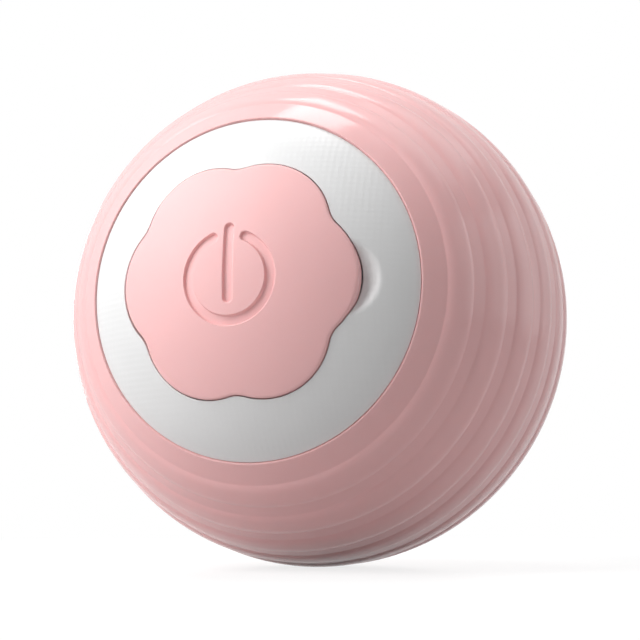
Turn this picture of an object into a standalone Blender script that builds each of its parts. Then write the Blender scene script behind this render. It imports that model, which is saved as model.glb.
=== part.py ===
"""Self rolling cat ball: a ribbed silicone tread over a two-part shell, with a geared swing weight inside.

The ball lies on the floor with its axle along Y. The face with the flower button looks along -Y, +Z is up
and the origin is on the floor under the ball's centre. Every piece is modelled in the axle's own frame:
X to the right of the face, Y up the face and Z out through the face, from the ball's centre.
"""

import math

import bmesh
import bpy
from mathutils import Matrix, Vector

# Ball and tread
EQUATOR_DEG = 90
BALL_RADIUS = 0.0215
RIB_RELIEF = 0.00015
EDGE_BAND_DROP = 0.00013
SLEEVE_WALL = 0.00125
FACE_EDGE_DEG = 38.6
END_RIB_WIDTH_DEG = 6.6
END_RIB_CENTRE_DEG = 42.48
RIB_WIDTH_DEG = 6.4
RIB_PITCH_DEG = 9.44
FIRST_RIB_DEG = 4.72
RIBS_A_SIDE = 4
CREST_SHARE = 0.25

# Shell
SLEEVE_FIT = 0.00025
SHELL_WALL = 0.0015
FACE_DROP = 0.0003
FACE_SEAM_DEG = 0.6
REAR_RISE = 0.00015
LIP_LENGTH = 0.0015
LIP_STEP = 0.00085
LIP_GAP = 0.00015
POCKET_DEPTH = 0.00355
FLOOR_WALL = 0.0015

# Gaps and overruns
SEAT_GAP = 0.0002
RUN_GAP = 0.00005
AXIAL_GAP = 0.0003
SLIDE_GAP = 0.0002
OVERRUN = 0.001
FUSE = 0.0003
MERGE = 0.000001

# Facets
TURN_STEPS = 28
FINE_STEPS = 16
AXLE_STEPS = 12
SCREW_STEPS = 10
SLEEVE_INNER_PIECES = 6
FACE_PIECES = 5
WALL_PIECES = 5
STADIUM_POINTS = 6
ICON_PIECES = 18
END_PIECES = 4
WEIGHT_PIECES = 4
LEAD_STEPS = 2
NOTCH_STEPS = 40
SHARP_DEG = 30

# Flower button
FLOWER_RISE = 0.00015
LOBES = 6
LOBE_CENTRE = 0.00406
LOBE_RADIUS = 0.0053
LOBE_SWEEP_DEG = 27
LOBE_POINTS = 5
POCKET_GAP = 0.0002
DOME_REACH_DEG = 30
DOME_RINGS = 6
NOTCH_RADIUS = 0.0073
NOTCH_DISH_RADIUS = 0.0029
NOTCH_SETBACK = 0.00124
ICON_RING_RADIUS = 0.0032
ICON_LINE = 0.0007
ICON_DEPTH = 0.00035
ICON_GAP_DEG = 24
ICON_BAR_TOP = 0.004
ICON_BAR_BOTTOM = 0.0019
HINGE_LIFT = 0.001
STRAP_LENGTH = 0.0031
STRAP_WIDTH = 0.003
STRAP_THICKNESS = 0.0005
STRAP_SETBACK = 0.0007

# Power key and switch
KEY_RADIUS = 0.002
KEY_FLANGE_RIM = 0.0005
KEY_FLANGE_THICKNESS = 0.0004
SWITCH_SIDE = 0.0045
SWITCH_HEIGHT = 0.0018
PLUNGER_RADIUS = 0.001
PLUNGER_LENGTH = 0.001
PRESS_TRAVEL = 0.0004

# Charging port
PORT_WIDTH = 0.00894
PORT_HEIGHT = 0.00326
PORT_KEY_GAP = 0.0005
PORT_WALL = 0.0003
PORT_BASE = 0.0007
TONGUE_WIDTH = 0.0067
TONGUE_THICKNESS = 0.0007
TONGUE_DEPTH = 0.0009
PLUG_GAP = 0.00027
PLUG_REACH = 0.0003

# Battery
BATTERY_LENGTH = 0.02
BATTERY_WIDTH = 0.014
BATTERY_THICKNESS = 0.0038
BATTERY_EDGE = 0.0009
PAD_MARGIN = 0.0013
PAD_THICKNESS = 0.0004

# Gear train
MODULE = 0.0003
PRESSURE_DEG = 20
ADDENDUM_SHARE = 0.8
DEDENDUM_SHARE = 1.15
BACKLASH = 0.00008
GEAR_WIDTH = 0.0011
MOTOR_TEETH = 9
FIRST_TEETH = 33
FIRST_PINION_TEETH = 10
SECOND_TEETH = 36
SECOND_PINION_TEETH = 11
OUTPUT_TEETH = 56
OUTPUT_WIDTH = 0.001
OUTPUT_RIM = 0.00105
FIRST_AXLE_DEG = 90
AXLE_RADIUS = 0.0005
HUB_RADIUS = 0.0012

# Gear housing
PLATE_CLEARANCE = 0.0017
FRAME_THICKNESS = 0.0012
COVER_THICKNESS = 0.001
COVER_OUTPUT_GAP = 0.0005
SPIGOT_WALL = 0.0009
SPIGOT_TAIL = 0.0004
SPIGOT_RUN_GAP = 0.00008
CLIP_THICKNESS = 0.0005
CLIP_HEIGHT = 0.0009
CLIP_GROOVE_DEPTH = 0.0003
SPACER_RADIUS = 0.0016
SPACER_EDGE = 0.001
SPACER_DEGS = (30, 180, 270)
FRAME_POST_RADIUS = 0.0016
FRAME_POST_DEGS = (90, 232, 308)

# Screws
SCREW_RADIUS = 0.0006
SCREW_HEAD_RADIUS = 0.0011
SCREW_HEAD_HEIGHT = 0.0005
SCREW_HOLD = 0.0022
SCREW_SLOT_WIDTH = 0.0003
SCREW_SLOT_DEPTH = 0.0002
SCREW_GAP = 0.0001

# Circuit board
BOARD_THICKNESS = 0.001
BOARD_ROOM = 0.0007
BOARD_SCREW_DEGS = (122, 58)
BOARD_POST_RADIUS = 0.0013
CHIP_SIDE = 0.004
CHIP_HEIGHT = 0.0009
CHIP_GAP = 0.0022
SENSOR_WIDTH = 0.0024
SENSOR_LENGTH = 0.003
SENSOR_HEIGHT = 0.002
SENSOR_EDGE = 0.0028
LED_WIDTH = 0.0016
LED_LENGTH = 0.001
LED_HEIGHT = 0.0006
LED_EDGE = 0.0027
LED_RISE = 0.003

# Motor
MOTOR_RADIUS = 0.005
MOTOR_LENGTH = 0.0118
MOTOR_BOSS_RADIUS = 0.0015
MOTOR_BOSS_LENGTH = 0.0007
MOTOR_CAP_STEP = 0.0004
MOTOR_CAP_THICKNESS = 0.0012
MOTOR_TAIL_RADIUS = 0.002
MOTOR_TAIL_LENGTH = 0.001
TERMINAL_WIDTH = 0.0011
TERMINAL_THICKNESS = 0.0003
TERMINAL_LENGTH = 0.0012
TERMINAL_X = 0.0016
TERMINAL_EDGE = 0.0012
SOCKET_WALL = 0.0012
SOCKET_DEPTH = 0.0046

# Swing weight
WEIGHT_CLEARANCE = 0.001
WEIGHT_CLIP_GAP = 0.0006
WEIGHT_LENGTH = 0.0058
WEIGHT_SCREW_EDGE = 0.0025
WEIGHT_SCREW_DEGS = (240, 300)
FLANGE_EDGE = 0.0015
FLANGE_THICKNESS = 0.001

# Leads
LEAD_RADIUS = 0.0003
LEAD_SIDE = 0.0008
LEAD_PASS_GAP = 0.0016
LEAD_HOLE_RADIUS = 0.0006
BATTERY_LEAD_SIDE = 0.0012
BATTERY_LEAD_STEP = 0.0006

# Radii that follow from the ball's, each by its own wall, step or gap
LAND_RADIUS = BALL_RADIUS - RIB_RELIEF
EDGE_BAND_RADIUS = BALL_RADIUS - EDGE_BAND_DROP
SLEEVE_INNER_RADIUS = LAND_RADIUS - SLEEVE_WALL
SHELL_RADIUS = SLEEVE_INNER_RADIUS - SLEEVE_FIT
SHELL_INNER_RADIUS = SHELL_RADIUS - SHELL_WALL
LIP_RADIUS = SHELL_RADIUS - LIP_STEP
FACE_RADIUS = BALL_RADIUS - FACE_DROP
FLOWER_RADIUS = FACE_RADIUS + FLOWER_RISE
REAR_POLE_RADIUS = FACE_RADIUS + REAR_RISE
WEIGHT_RADIUS = SHELL_INNER_RADIUS - WEIGHT_CLEARANCE

# The axle's height when the ball stands on the crests beside its equator
AXLE_HEIGHT = BALL_RADIUS * math.cos(math.radians(FIRST_RIB_DEG - CREST_SHARE * RIB_WIDTH_DEG / 2))

# Heights along the axle, measured out through the face from the ball's centre, from the face inwards
POCKET_FLOOR = FACE_RADIUS - POCKET_DEPTH
FLOWER_UNDERSIDE = POCKET_FLOOR + PRESS_TRAVEL + SEAT_GAP
HINGE_HEIGHT = FLOWER_UNDERSIDE + HINGE_LIFT
FLOOR_INNER = POCKET_FLOOR - FLOOR_WALL
KEY_BACK = FLOOR_INNER - SEAT_GAP - KEY_FLANGE_THICKNESS
PLUNGER_TOP = KEY_BACK - SEAT_GAP
PLUNGER_FOOT = PLUNGER_TOP - PLUNGER_LENGTH
SWITCH_TOP = PLUNGER_TOP - PRESS_TRAVEL - SEAT_GAP
BOARD_SEAT = SWITCH_TOP - SWITCH_HEIGHT
BOARD_FRONT = BOARD_SEAT - SEAT_GAP
BOARD_BACK = BOARD_FRONT - BOARD_THICKNESS
BATTERY_FRONT = BOARD_BACK - BOARD_ROOM
BATTERY_BACK = BATTERY_FRONT - BATTERY_THICKNESS
PAD_BACK = BATTERY_BACK - SEAT_GAP - PAD_THICKNESS
FRAME_FRONT = PAD_BACK - SEAT_GAP
FRAME_BACK = FRAME_FRONT - FRAME_THICKNESS
FIRST_PLANE_HIGH = FRAME_BACK - AXIAL_GAP
FIRST_PLANE_LOW = FIRST_PLANE_HIGH - GEAR_WIDTH
SECOND_PLANE_HIGH = FIRST_PLANE_LOW - AXIAL_GAP
SECOND_PLANE_LOW = SECOND_PLANE_HIGH - GEAR_WIDTH
COVER_FRONT = SECOND_PLANE_LOW - AXIAL_GAP
COVER_BACK = COVER_FRONT - COVER_THICKNESS
OUTPUT_FRONT = COVER_BACK - COVER_OUTPUT_GAP
OUTPUT_BACK = OUTPUT_FRONT - OUTPUT_WIDTH
FLANGE_FRONT = OUTPUT_BACK - AXIAL_GAP
FLANGE_BACK = FLANGE_FRONT - FLANGE_THICKNESS
CLIP_FRONT = FLANGE_BACK - AXIAL_GAP
CLIP_BACK = CLIP_FRONT - CLIP_THICKNESS
SPIGOT_BACK = CLIP_BACK - SPIGOT_TAIL
WEIGHT_FRONT = FLANGE_BACK - AXIAL_GAP
WEIGHT_BACK = WEIGHT_FRONT - WEIGHT_LENGTH
MOTOR_FRONT = COVER_BACK - SEAT_GAP
MOTOR_BACK = MOTOR_FRONT - MOTOR_LENGTH
MOTOR_CAP_FRONT = MOTOR_BACK - SEAT_GAP
MOTOR_CAP_BACK = MOTOR_CAP_FRONT - MOTOR_CAP_THICKNESS

# Distances between gear centres, in the plane of the face
FIRST_DISTANCE = MODULE * (MOTOR_TEETH + FIRST_TEETH) / 2
SECOND_DISTANCE = MODULE * (SECOND_PINION_TEETH + OUTPUT_TEETH) / 2
BETWEEN_DISTANCE = MODULE * (FIRST_PINION_TEETH + SECOND_TEETH) / 2

# Reaches from the axle, in the plane of the face
LOBE_TIP = LOBE_CENTRE + LOBE_RADIUS
NOTCH_REACH = LOBE_TIP - NOTCH_SETBACK
STRAP_END = LOBE_TIP - STRAP_SETBACK
KEY_FLANGE_RADIUS = KEY_RADIUS + KEY_FLANGE_RIM
PORT_DROP = KEY_FLANGE_RADIUS + PORT_KEY_GAP + PORT_HEIGHT / 2
PLATE_RADIUS = math.sqrt(SHELL_INNER_RADIUS**2 - FRAME_FRONT**2) - PLATE_CLEARANCE
SPACER_REACH = PLATE_RADIUS - SPACER_RADIUS - SPACER_EDGE
FRAME_POST_REACH = PLATE_RADIUS - FRAME_POST_RADIUS
BOARD_RADIUS = FRAME_POST_REACH - FRAME_POST_RADIUS - SEAT_GAP
BOARD_SCREW_REACH = BOARD_RADIUS - BOARD_POST_RADIUS - SEAT_GAP
OUTPUT_ROOT_RADIUS = MODULE * (OUTPUT_TEETH / 2 - DEDENDUM_SHARE)
OUTPUT_HUB_RADIUS = OUTPUT_ROOT_RADIUS - FUSE / 2
SPIGOT_RADIUS = OUTPUT_ROOT_RADIUS - OUTPUT_RIM
SPIGOT_BORE = SPIGOT_RADIUS - SPIGOT_WALL
CLIP_RADIUS = SPIGOT_RADIUS + CLIP_HEIGHT
WEIGHT_BORE = CLIP_RADIUS + WEIGHT_CLIP_GAP
WEIGHT_SCREW_REACH = WEIGHT_BORE + WEIGHT_SCREW_EDGE
FLANGE_RADIUS = WEIGHT_SCREW_REACH + FLANGE_EDGE
MOTOR_CAP_RADIUS = MOTOR_RADIUS - MOTOR_CAP_STEP
TERMINAL_DROP = MOTOR_CAP_RADIUS - TERMINAL_EDGE
LEAD_RUN_RADIUS = (MOTOR_RADIUS + SPIGOT_BORE) / 2
LEAD_BOARD_DROP = BATTERY_WIDTH / 2 + LEAD_PASS_GAP

WHITE = (0.82, 0.82, 0.81)
PINK = (0.86, 0.45, 0.45)
DEEP_PINK = (0.80, 0.34, 0.36)
STEEL = (0.56, 0.57, 0.58)
BRASS = (0.71, 0.52, 0.22)
BLACK = (0.03, 0.03, 0.03)
BOARD_GREEN = (0.02, 0.16, 0.07)
NYLON = (0.80, 0.78, 0.70)
FOIL = (0.60, 0.61, 0.63)
RED = (0.55, 0.03, 0.03)


def clear_scene():
    for obj in list(bpy.data.objects):
        bpy.data.objects.remove(obj)


def new_collection(name):
    collection = bpy.data.collections.new(name)
    bpy.context.scene.collection.children.link(collection)
    return collection


def new_material(name, colour, roughness, metallic=0.0):
    material = bpy.data.materials.new(name)
    material.use_nodes = True
    shader = material.node_tree.nodes["Principled BSDF"]
    shader.inputs["Base Color"].default_value = (*colour, 1.0)
    shader.inputs["Roughness"].default_value = roughness
    shader.inputs["Metallic"].default_value = metallic
    return material


def new_axle_frame():
    """The empty that carries every piece: its Z points out through the face, which looks along -Y."""
    frame = bpy.data.objects.new("axle_frame", None)
    PARTS.objects.link(frame)
    frame.location = (0, 0, AXLE_HEIGHT)
    frame.rotation_euler = (math.pi / 2, 0, 0)
    return frame


def place(obj, at=(0, 0, 0), turn=0.0):
    """Hang an object on the axle frame, with its own origin at a point of that frame."""
    obj.parent = AXLE
    obj.location = at
    obj.rotation_euler = (0, 0, turn)
    return obj


def as_part(obj, name, look, at=(0, 0, 0), turn=0.0):
    obj.name = name
    obj.data.name = name
    colour, roughness, metallic = look
    obj.data.materials.clear()
    obj.data.materials.append(new_material(name, colour, roughness, metallic))
    PARTS.objects.link(obj)
    return place(obj, at, turn)


def as_cutter(obj, name, at=(0, 0, 0), turn=0.0):
    obj.name = name
    obj.hide_render = True
    obj.display_type = "WIRE"
    CUTTERS.objects.link(obj)
    return place(obj, at, turn)


def boolean(obj, other, operation):
    modifier = obj.modifiers.new(other.name, "BOOLEAN")
    modifier.operation = operation
    modifier.solver = "EXACT"
    modifier.object = other


def cut(obj, other):
    boolean(obj, other, "DIFFERENCE")


def join(obj, other):
    boolean(obj, other, "UNION")


def keep_inside(obj, other):
    boolean(obj, other, "INTERSECT")


def from_bmesh(bm):
    mesh = bpy.data.meshes.new("shape")
    bm.to_mesh(mesh)
    bm.free()
    return bpy.data.objects.new("shape", mesh)


def cylinder(radius, low, high, steps=FINE_STEPS):
    """A cylinder along Z between two heights."""
    bm = bmesh.new()
    bmesh.ops.create_cone(
        bm,
        cap_ends=True,
        segments=steps,
        radius1=radius,
        radius2=radius,
        depth=high - low,
        matrix=Matrix.Translation((0, 0, (low + high) / 2)),
    )
    return from_bmesh(bm)


def bore(radius, low, high, steps=FINE_STEPS):
    """A cutter for a round hole, whose flats, not its corners, lie at the radius."""
    return cylinder(radius / math.cos(math.pi / steps), low, high, steps)


def sphere(radius, steps=FINE_STEPS):
    bm = bmesh.new()
    bmesh.ops.create_uvsphere(bm, u_segments=steps, v_segments=steps // 2, radius=radius)
    return from_bmesh(bm)


def box(width, length, low, high):
    """A box standing on the frame's plane, between two heights."""
    bm = bmesh.new()
    middle = Matrix.Translation((0, 0, (low + high) / 2))
    scale = Matrix.Diagonal((width, length, high - low, 1))
    bmesh.ops.create_cube(bm, size=1, matrix=middle @ scale)
    return from_bmesh(bm)


def extruded(outline, low, high):
    """A flat outline in the plane of the face, given a thickness between two heights."""
    curve = bpy.data.curves.new("outline", "CURVE")
    curve.dimensions = "2D"
    curve.fill_mode = "BOTH"
    curve.extrude = (high - low) / 2
    spline = curve.splines.new("POLY")
    spline.points.add(len(outline) - 1)
    for point, (x, y) in zip(spline.points, outline):
        point.co = (x, y, 0, 1)
    spline.use_cyclic_u = True
    drawn = bpy.data.objects.new("outline", curve)
    bpy.context.scene.collection.objects.link(drawn)
    graph = bpy.context.evaluated_depsgraph_get()
    mesh = bpy.data.meshes.new_from_object(drawn.evaluated_get(graph))
    bpy.data.objects.remove(drawn)
    bm = bmesh.new()
    bm.from_mesh(mesh)
    bmesh.ops.remove_doubles(bm, verts=bm.verts, dist=MERGE)
    bmesh.ops.recalc_face_normals(bm, faces=bm.faces)
    bmesh.ops.translate(bm, verts=bm.verts, vec=(0, 0, (low + high) / 2))
    bpy.data.meshes.remove(mesh)
    return from_bmesh(bm)


def turned(profile, closed=False, steps=TURN_STEPS):
    """A profile of (radius, height) points turned about Z, its outer side running from the face down.

    The radii are those of the flats between corners, and the flats face the frame's X and Y.
    """
    corner = 1 / math.cos(math.pi / steps)
    mesh = bpy.data.meshes.new("profile")
    links = [(i, i + 1) for i in range(len(profile) - 1)]
    if closed:
        links.append((len(profile) - 1, 0))
    half = math.pi / steps
    corners = [
        (x * corner * math.cos(half), x * corner * math.sin(half), z) for x, z in profile
    ]
    mesh.from_pydata(corners, links, [])
    obj = bpy.data.objects.new("turned", mesh)
    screw = obj.modifiers.new("turn", "SCREW")
    screw.steps = steps
    screw.render_steps = steps
    screw.use_merge_vertices = True
    screw.merge_threshold = MERGE
    return obj


def polar(radius, degrees):
    """A (radius, height) point at an angle from the face's pole."""
    angle = math.radians(degrees)
    return radius * math.sin(angle), radius * math.cos(angle)


def arc(radius, start, end, pieces):
    return [polar(radius, start + (end - start) * i / pieces) for i in range(pieces + 1)]


def on_circle(radius, degrees):
    """A point of the face's plane, its angle counted from X."""
    angle = math.radians(degrees)
    return radius * math.cos(angle), radius * math.sin(angle)


def curved(route, radius):
    """A round lead along a smooth curve through the route's points."""
    points = smooth_points([Vector(p) for p in route], LEAD_STEPS)
    curve = bpy.data.curves.new("lead", "CURVE")
    curve.dimensions = "3D"
    curve.bevel_depth = radius
    curve.bevel_resolution = 1
    curve.use_fill_caps = True
    spline = curve.splines.new("POLY")
    spline.points.add(len(points) - 1)
    for target, point in zip(spline.points, points):
        target.co = (*point, 1)
    return bpy.data.objects.new("lead", curve)



def smooth_points(knots, steps):
    """Points on a curve that passes through every knot, by Catmull and Rom's rule."""
    ends = [2 * knots[0] - knots[1], *knots, 2 * knots[-1] - knots[-2]]
    points = []
    for a, b, c, d in zip(ends, ends[1:], ends[2:], ends[3:]):
        for i in range(steps):
            t = i / steps
            bend = 2 * a - 5 * b + 4 * c - d
            twist = 3 * b - a - 3 * c + d
            points.append((2 * b + (c - a) * t + bend * t**2 + twist * t**3) / 2)
    points.append(knots[-1])
    return points


# Looks: colour, roughness and metallic value
PINK_SILICONE = (PINK, 0.35, 0.0)
FLOWER_SILICONE = (DEEP_PINK, 0.6, 0.0)
WHITE_SHELL = (WHITE, 0.45, 0.0)
NATURAL_NYLON = (NYLON, 0.5, 0.0)
PLATED_STEEL = (STEEL, 0.3, 1.0)
CAST_WEIGHT = (STEEL, 0.45, 1.0)
TURNED_BRASS = (BRASS, 0.3, 1.0)
BLACK_RESIN = (BLACK, 0.5, 0.0)
SOLDER_MASK = (BOARD_GREEN, 0.4, 0.0)
POUCH_FOIL = (FOIL, 0.35, 0.6)
GREY_FOAM = ((0.25, 0.25, 0.26), 0.9, 0.0)
RED_LEAD = (RED, 0.5, 0.0)


# Tread sleeve


def rib_points(centre, width):
    """The rounded top of one rib, foot to foot, at angles from the face's pole."""
    half = width / 2
    crest = half * CREST_SHARE
    return [
        polar(LAND_RADIUS, centre - half),
        polar(BALL_RADIUS, centre - crest),
        polar(BALL_RADIUS, centre + crest),
        polar(LAND_RADIUS, centre + half),
    ]


def rib_centres():
    """Angles of the ribs from the face's pole, with their widths, the front half and its mirror."""
    offsets = [FIRST_RIB_DEG + RIB_PITCH_DEG * i for i in range(RIBS_A_SIDE)]
    side = [(offset, RIB_WIDTH_DEG) for offset in offsets]
    side.append((END_RIB_CENTRE_DEG, END_RIB_WIDTH_DEG))
    front = [(EQUATOR_DEG - offset, width) for offset, width in reversed(side)]
    rear = [(EQUATOR_DEG + offset, width) for offset, width in side]
    return front + rear


def make_tread_sleeve():
    far_edge = 2 * EQUATOR_DEG - FACE_EDGE_DEG
    profile = [polar(EDGE_BAND_RADIUS, FACE_EDGE_DEG)]
    for centre, width in rib_centres():
        profile += rib_points(centre, width)
    profile.append(polar(EDGE_BAND_RADIUS, far_edge))
    profile += arc(SLEEVE_INNER_RADIUS, far_edge, FACE_EDGE_DEG, SLEEVE_INNER_PIECES)
    as_part(turned(profile, closed=True), "tread_sleeve", PINK_SILICONE)



# Front shell


def flower_outline(grow=0.0):
    """The six lobes, each an arc of its own circle, counted round from X."""
    points = []
    step = 2 * LOBE_SWEEP_DEG / (LOBE_POINTS - 1)
    for lobe in range(LOBES):
        for i in range(LOBE_POINTS):
            off = math.radians(-LOBE_SWEEP_DEG + step * i)
            reach = math.sqrt(LOBE_RADIUS**2 - (LOBE_CENTRE * math.sin(off)) ** 2)
            radius = LOBE_CENTRE * math.cos(off) + reach + grow
            points.append(on_circle(radius, 360 * lobe / LOBES + math.degrees(off)))
    return points


def stadium(width, height, grow=0.0):
    """A long round-ended outline, its middle at the charging port's place."""
    end = height / 2 + grow
    reach = width / 2 - height / 2
    points = []
    for i in range(STADIUM_POINTS):
        angle = math.pi * i / (STADIUM_POINTS - 1) - math.pi / 2
        points.append((reach + end * math.cos(angle), end * math.sin(angle) - PORT_DROP))
    points += [(-x, -y - 2 * PORT_DROP) for x, y in points]
    return points


def front_profile():
    """The front shell's section: face disc, step under the sleeve, lip, and the flat behind the pocket."""
    disc_edge = FACE_EDGE_DEG - FACE_SEAM_DEG
    flat_edge = math.degrees(math.acos(FLOOR_INNER / SHELL_INNER_RADIUS))
    profile = arc(FACE_RADIUS, 0, disc_edge, FACE_PIECES)
    profile += arc(SHELL_RADIUS, disc_edge, EQUATOR_DEG, WALL_PIECES)
    profile.append((LIP_RADIUS, 0))
    profile.append((LIP_RADIUS, -LIP_LENGTH))
    profile.append((SHELL_INNER_RADIUS, -LIP_LENGTH))
    profile += arc(SHELL_INNER_RADIUS, EQUATOR_DEG, flat_edge, WALL_PIECES)
    profile.append((0, FLOOR_INNER))
    return profile


def add_posts(shell):
    """Posts for the gear frame, trimmed inside the wall, and posts for the circuit board."""
    middle = (SHELL_INNER_RADIUS + SHELL_RADIUS) / 2
    wall = as_cutter(turned(arc(middle, 0, 2 * EQUATOR_DEG, FINE_STEPS)), "post_trim")
    for i, degrees in enumerate(FRAME_POST_DEGS):
        post = cylinder(FRAME_POST_RADIUS, FRAME_FRONT + SEAT_GAP, FLOOR_INNER)
        x, y = on_circle(FRAME_POST_REACH, degrees)
        as_cutter(post, f"frame_post_{i + 1}", (x, y, 0))
        keep_inside(post, wall)
        join(shell, post)
    for i, degrees in enumerate(BOARD_SCREW_DEGS):
        post = cylinder(BOARD_POST_RADIUS, BOARD_SEAT, FLOOR_INNER + FUSE)
        as_cutter(post, f"board_post_{i + 1}", (*on_circle(BOARD_SCREW_REACH, degrees), 0))
        join(shell, post)


def cut_face(shell):
    """The flower's pocket, the finger notch beside it, the port, the key hole and the strap's channel."""
    top = FLOWER_RADIUS + OVERRUN
    pocket = as_cutter(extruded(flower_outline(POCKET_GAP), POCKET_FLOOR, top), "pocket")
    cut(shell, pocket)
    tilt = math.asin(NOTCH_REACH / FACE_RADIUS)
    lift = FACE_RADIUS + math.sqrt(NOTCH_RADIUS**2 - NOTCH_DISH_RADIUS**2)
    centre = (lift * math.sin(tilt), 0, lift * math.cos(tilt))
    cut(shell, as_cutter(sphere(NOTCH_RADIUS, NOTCH_STEPS), "notch", centre))
    low = FLOOR_INNER - OVERRUN
    port = extruded(stadium(PORT_WIDTH, PORT_HEIGHT, SEAT_GAP), low, top)
    cut(shell, as_cutter(port, "port_hole"))
    key = cylinder(KEY_RADIUS + SLIDE_GAP, low, top)
    cut(shell, as_cutter(key, "key_hole"))
    depth = FLOWER_UNDERSIDE - AXIAL_GAP - STRAP_THICKNESS - PRESS_TRAVEL - SEAT_GAP
    length = STRAP_LENGTH + 2 * SEAT_GAP
    channel = box(length, STRAP_WIDTH + 2 * SEAT_GAP, depth, POCKET_FLOOR + OVERRUN / 2)
    cut(shell, as_cutter(channel, "strap_channel", (STRAP_LENGTH / 2 - STRAP_END, 0, 0)))


def drill_posts(shell):
    """Pilot holes for the frame screws and the board screws."""
    for i, degrees in enumerate(FRAME_POST_DEGS):
        x, y = on_circle(FRAME_POST_REACH, degrees)
        hole = bore(SCREW_RADIUS + SCREW_GAP, FRAME_BACK, FRAME_BACK + SCREW_HOLD + SEAT_GAP, SCREW_STEPS)
        cut(shell, as_cutter(hole, f"frame_pilot_{i + 1}", (x, y, 0)))
    for i, degrees in enumerate(BOARD_SCREW_DEGS):
        hole = bore(SCREW_RADIUS + SCREW_GAP, BOARD_BACK, BOARD_BACK + SCREW_HOLD + SEAT_GAP, SCREW_STEPS)
        cut(shell, as_cutter(hole, f"board_pilot_{i + 1}", (*on_circle(BOARD_SCREW_REACH, degrees), 0)))


def make_front_shell():
    shell = as_part(turned(front_profile()), "front_shell", WHITE_SHELL)
    add_posts(shell)
    cut_face(shell)
    drill_posts(shell)


# Rear shell


def rear_profile():
    """The rear shell's section: motor socket, inner wall, lip seat, outer wall and plain domed disc."""
    socket_bore = MOTOR_TAIL_RADIUS + SEAT_GAP
    socket_mouth = MOTOR_CAP_BACK - SEAT_GAP
    socket_radius = socket_bore + SOCKET_WALL
    lip_end = LIP_LENGTH + LIP_GAP
    lip_seat = LIP_RADIUS + LIP_GAP
    profile = [(0, socket_mouth - SOCKET_DEPTH)]
    profile.append((socket_bore, socket_mouth - SOCKET_DEPTH))
    profile.append((socket_bore, socket_mouth))
    profile.append((socket_radius, socket_mouth))
    foot = 2 * EQUATOR_DEG - math.degrees(math.asin(socket_radius / SHELL_INNER_RADIUS))
    start = EQUATOR_DEG + math.degrees(math.asin(lip_end / SHELL_INNER_RADIUS))
    profile += arc(SHELL_INNER_RADIUS, foot, start, WALL_PIECES)
    profile.append((lip_seat, -lip_end))
    profile.append((lip_seat, -LIP_GAP))
    profile.append((SHELL_RADIUS, -LIP_GAP))
    disc_edge = 2 * EQUATOR_DEG - FACE_EDGE_DEG + FACE_SEAM_DEG
    profile += arc(SHELL_RADIUS, EQUATOR_DEG, disc_edge, WALL_PIECES)[1:]
    profile += rear_dome(polar(FACE_RADIUS, disc_edge))
    return profile


def rear_dome(rim):
    """An arc from the disc's rim to the rear pole, a little fuller than the ball."""
    radius, height = rim
    rise = REAR_POLE_RADIUS + height
    curve = (radius**2 + rise**2) / (2 * rise)
    sweep = math.asin(radius / curve)
    centre = curve - REAR_POLE_RADIUS
    points = []
    for i in range(FACE_PIECES + 1):
        angle = sweep * (1 - i / FACE_PIECES)
        points.append((curve * math.sin(angle), centre - curve * math.cos(angle)))
    return points


def make_rear_shell():
    as_part(turned(rear_profile()), "rear_shell", WHITE_SHELL)


# Flower button, its strap, the key and the switch


def dome(radius):
    """The cap of a ball round the face's pole, closed flat below."""
    profile = arc(radius, 0, DOME_REACH_DEG, DOME_RINGS)
    low = FLOWER_UNDERSIDE - OVERRUN
    profile.append((profile[-1][0], low))
    profile.append((0, low))
    return turned(profile)


def icon_ring():
    """The open ring of the power sign, with round ends, its gap at the top."""
    points = []
    half = ICON_LINE / 2
    start = EQUATOR_DEG + ICON_GAP_DEG
    sweep = 360 - 2 * ICON_GAP_DEG
    for i in range(ICON_PIECES + 1):
        points.append(on_circle(ICON_RING_RADIUS + half, start + sweep * i / ICON_PIECES))
    points += round_end(start + sweep, 1)
    for i in range(ICON_PIECES, -1, -1):
        points.append(on_circle(ICON_RING_RADIUS - half, start + sweep * i / ICON_PIECES))
    points += round_end(start, -1)
    return points


def round_end(degrees, way):
    """The half circle that ends the ring at an angle, passed outwards in or inwards out."""
    x, y = on_circle(ICON_RING_RADIUS, degrees)
    points = []
    for i in range(1, END_PIECES):
        turn = 180 * i / END_PIECES + (0 if way > 0 else 180)
        dx, dy = on_circle(ICON_LINE / 2, degrees + turn)
        points.append((x + dx, y + dy))
    return points


def bar_outline():
    """The upright of the power sign, with round ends."""
    half = ICON_LINE / 2
    points = []
    for centre, start in ((ICON_BAR_TOP - half, 0), (half - ICON_BAR_BOTTOM, 180)):
        for i in range(END_PIECES + 1):
            dx, dy = on_circle(half, start + 180 * i / END_PIECES)
            points.append((dx, centre + dy))
    return points


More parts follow.
